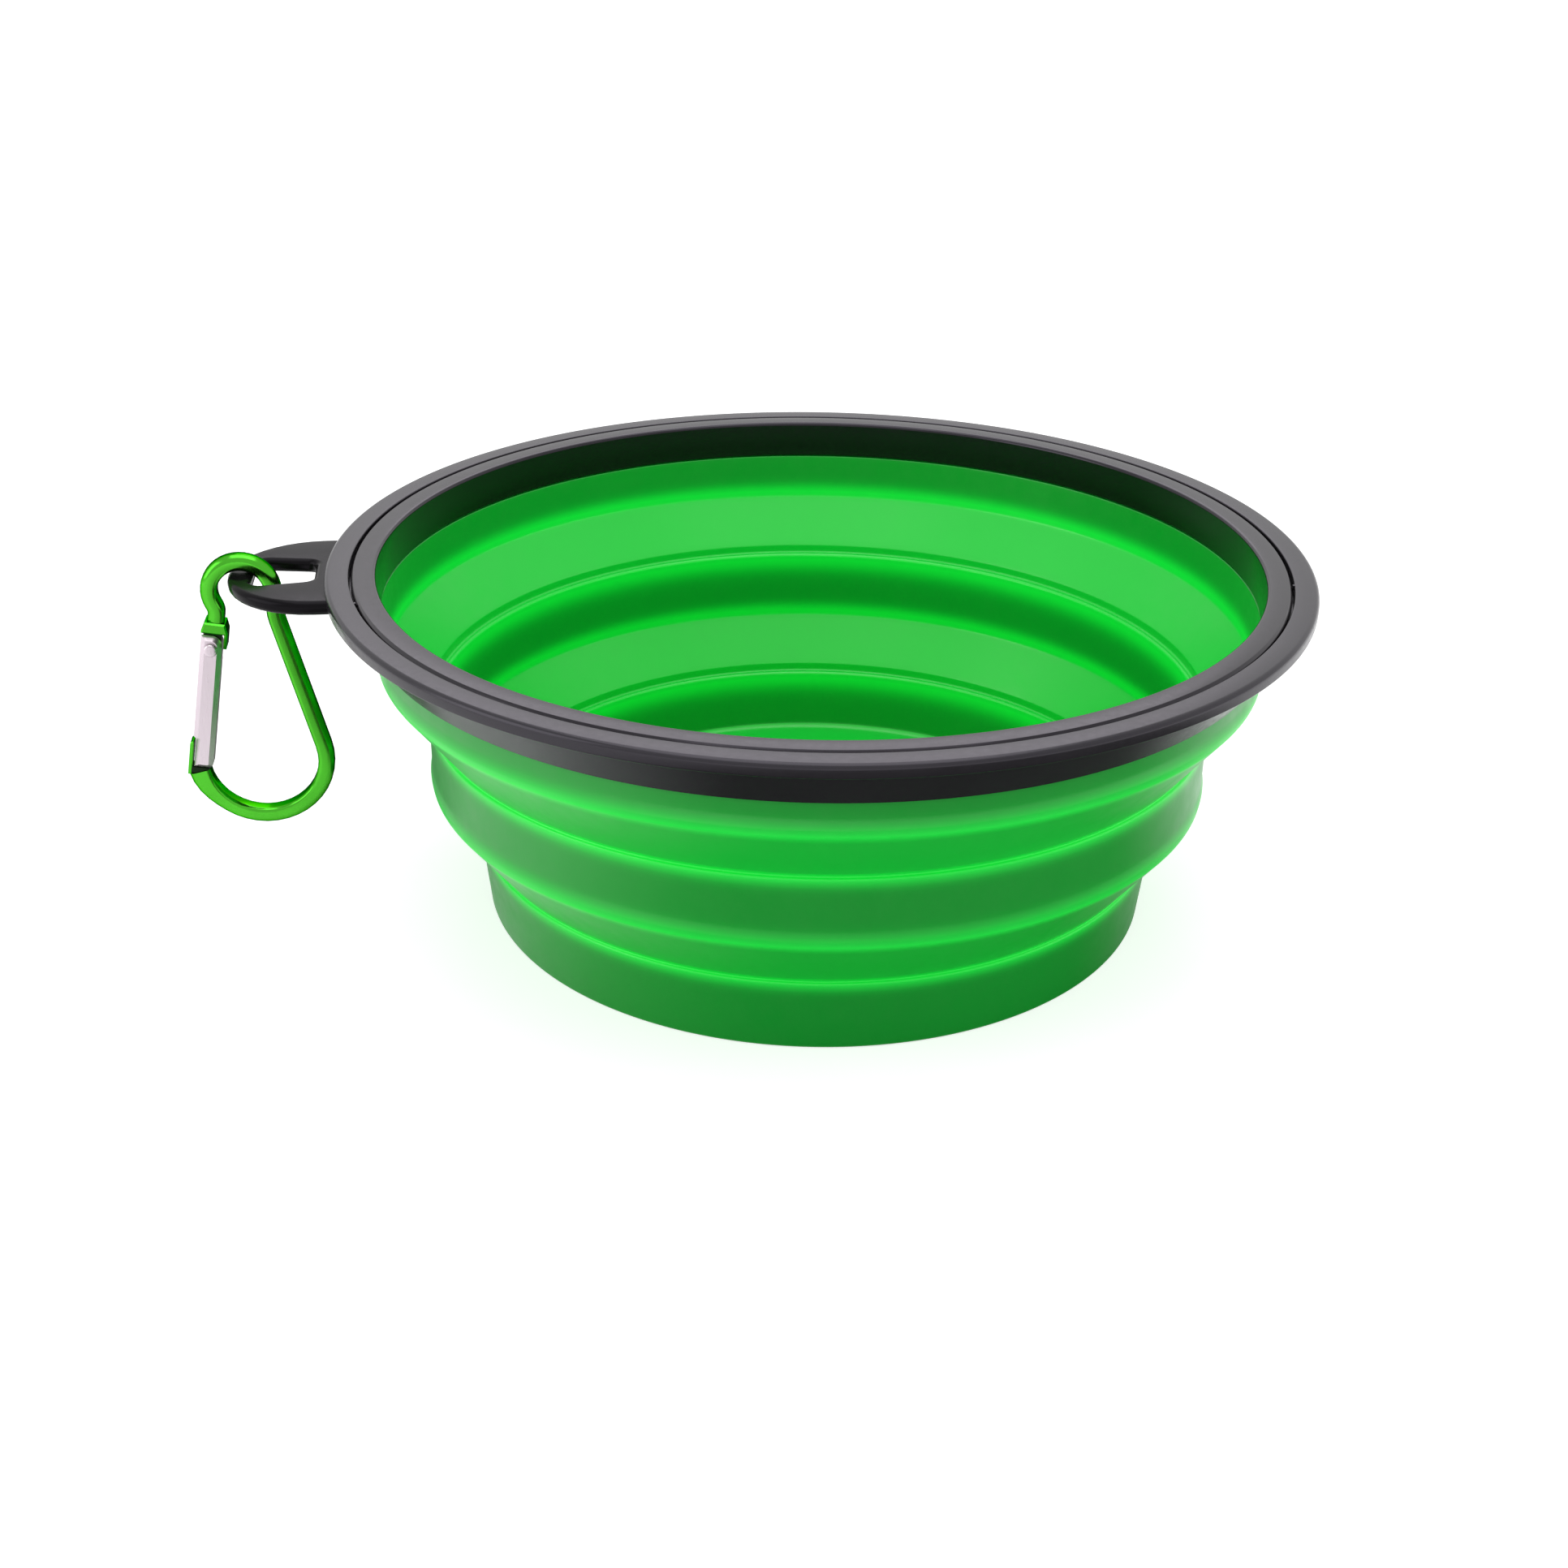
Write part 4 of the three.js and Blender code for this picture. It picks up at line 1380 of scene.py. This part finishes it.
def card_black():
    """Dark grey felt of the reflection cards, which fades out towards their edges."""
    material, tree, shader = new_material("card_black")
    felt = mixed(tree, noise(tree, scale=400), grey(0.08), grey(0.12))
    tree.links.new(felt, shader.inputs["Base Color"])
    shader.inputs["Roughness"].default_value = 0.9
    place = add_node(tree, "ShaderNodeTexCoord").outputs["Generated"]
    middle = add_node(tree, "ShaderNodeMapping", Vector=place, Location=(-1, -1, 0), Scale=(2, 2, 0))
    fade = add_node(tree, "ShaderNodeTexGradient", gradient_type="SPHERICAL", Vector=middle.outputs[0])
    cover = spread(tree, fade.outputs["Fac"], low=0, high=1, start=0.0, end=CARD_FADE)
    clear = add_node(tree, "ShaderNodeBsdfTransparent").outputs[0]
    choice = joined(tree, tree.nodes.new("ShaderNodeMixShader"), cover, clear, shader.outputs[0])
    tree.links.new(choice, tree.nodes["Material Output"].inputs["Surface"])
    return material


def seen_ray(tree):
    """1 for rays that show a surface to the camera, also through a reflection or a clear piece; else 0."""
    path = add_node(tree, "ShaderNodeLightPath")
    total = path.outputs["Is Camera Ray"]
    for name in ("Is Glossy Ray", "Is Transmission Ray"):
        either = add_node(tree, "ShaderNodeMath", operation="MAXIMUM")
        total = joined(tree, either, total, path.outputs[name])
    return total


def floor_white():
    """Pale floor that shows white around the object and keeps its shadow."""
    material = bpy.data.materials.new("floor_white")
    material.use_nodes = True
    tree = material.node_tree
    tree.nodes.clear()
    grain = mixed(tree, noise(tree, scale=30), grey(0.7), grey(0.72))
    matt = add_node(tree, "ShaderNodeBsdfDiffuse", Color=grain).outputs[0]
    place = add_node(tree, "ShaderNodeTexCoord").outputs["Object"]
    reach = add_node(tree, "ShaderNodeVectorMath", operation="LENGTH")
    tree.links.new(place, reach.inputs[0])
    distance = reach.outputs["Value"]
    level = spread(tree, distance, low=NEAR_GLOW, high=FAR_GLOW, start=NEAR_REACH, end=FAR_REACH)
    strength = add_node(tree, "ShaderNodeMapRange", Value=seen_ray(tree), To_Max=level)
    glow = add_node(tree, "ShaderNodeEmission", Strength=strength.outputs["Result"]).outputs[0]
    total = joined(tree, tree.nodes.new("ShaderNodeAddShader"), matt, glow)
    output = tree.nodes.new("ShaderNodeOutputMaterial")
    tree.links.new(total, output.inputs["Surface"])
    return material


def studio_world(ambient):
    """White surroundings that light the object softly."""
    world = bpy.data.worlds.new("studio")
    world.use_nodes = True
    tree = world.node_tree
    tree.nodes.clear()
    soft = add_node(tree, "ShaderNodeBackground", Color=WHITE, Strength=ambient).outputs[0]
    seen = add_node(tree, "ShaderNodeBackground", Color=WHITE, Strength=1.0).outputs[0]
    choice = joined(tree, tree.nodes.new("ShaderNodeMixShader"), seen_ray(tree), soft, seen)
    output = tree.nodes.new("ShaderNodeOutputWorld")
    tree.links.new(choice, output.inputs["Surface"])
    return world


def lamp(name, place, target, width, power, colour=(1, 1, 1), glossy=True):
    """A square soft lamp that faces a point, and that reflections show only if it is glossy."""
    light = bpy.data.lights.new(name, "AREA")
    light.size = width
    light.energy = power
    light.color = colour
    holder = bpy.data.objects.new(name, light)
    holder.location = place
    holder.visible_glossy = glossy
    holder.rotation_euler = (Vector(target) - Vector(place)).to_track_quat("-Z", "Y").to_euler()
    bpy.context.scene.collection.objects.link(holder)


def photo_camera(stage):
    """The camera at the photograph's viewing angle."""
    data = bpy.data.cameras.new("photo_camera")
    data.angle = stage.camera_view
    data.clip_start = NEAR_CLIP
    camera = bpy.data.objects.new("photo_camera", data)
    turn = Matrix.Rotation(-stage.camera_pan, 4, "Z")
    turn @= Matrix.Rotation(math.pi / 2 - stage.camera_tilt, 4, "X")
    turn @= Matrix.Rotation(stage.camera_roll, 4, "Z")
    camera.matrix_world = Matrix.Translation(stage.camera_place) @ turn
    bpy.context.scene.collection.objects.link(camera)
    return camera


class PETBOWL_PT_panel(bpy.types.Panel):
    """Buttons that build the bowl, and the sizes they use"""

    bl_idname = "PETBOWL_PT_panel"
    bl_label = "Pet Bowl"
    bl_space_type = "VIEW_3D"
    bl_region_type = "UI"
    bl_category = "Pet Bowl"

    def draw(self, context):
        for operator in OPERATORS:
            self.layout.operator(operator.bl_idname)
        for name, kind in GROUPS.items():
            box = self.layout.box()
            box.label(text=name.title())
            for key in kind.__annotations__:
                box.prop(sizes(name), key)


GROUPS = {
    "bowl": BowlSizes,
    "rim": RimSizes,
    "carabiner": CarabinerSizes,
    "finishes": Finishes,
    "stage": StageSizes,
}
OPERATORS = (
    PETBOWL_OT_stage,
    PETBOWL_OT_bowl,
    PETBOWL_OT_rim,
    PETBOWL_OT_carabiner,
    PETBOWL_OT_gate,
)


def register():
    """Register the classes and hang the property groups on the scene."""
    for kind in (*GROUPS.values(), *OPERATORS, PETBOWL_PT_panel):
        bpy.utils.register_class(kind)
    for name, kind in GROUPS.items():
        setattr(bpy.types.Scene, "pet_bowl_" + name, PointerProperty(type=kind))


def unregister():
    """Take the property groups off the scene and unregister the classes."""
    for name in GROUPS:
        delattr(bpy.types.Scene, "pet_bowl_" + name)
    for kind in (PETBOWL_PT_panel, *reversed(OPERATORS), *reversed(GROUPS.values())):
        bpy.utils.unregister_class(kind)


def main():
    register()
    bpy.ops.pet_bowl.stage()
    bpy.ops.pet_bowl.bowl()
    bpy.ops.pet_bowl.rim()
    bpy.ops.pet_bowl.carabiner()
    bpy.ops.pet_bowl.gate()


if __name__ == "__main__":
    main()
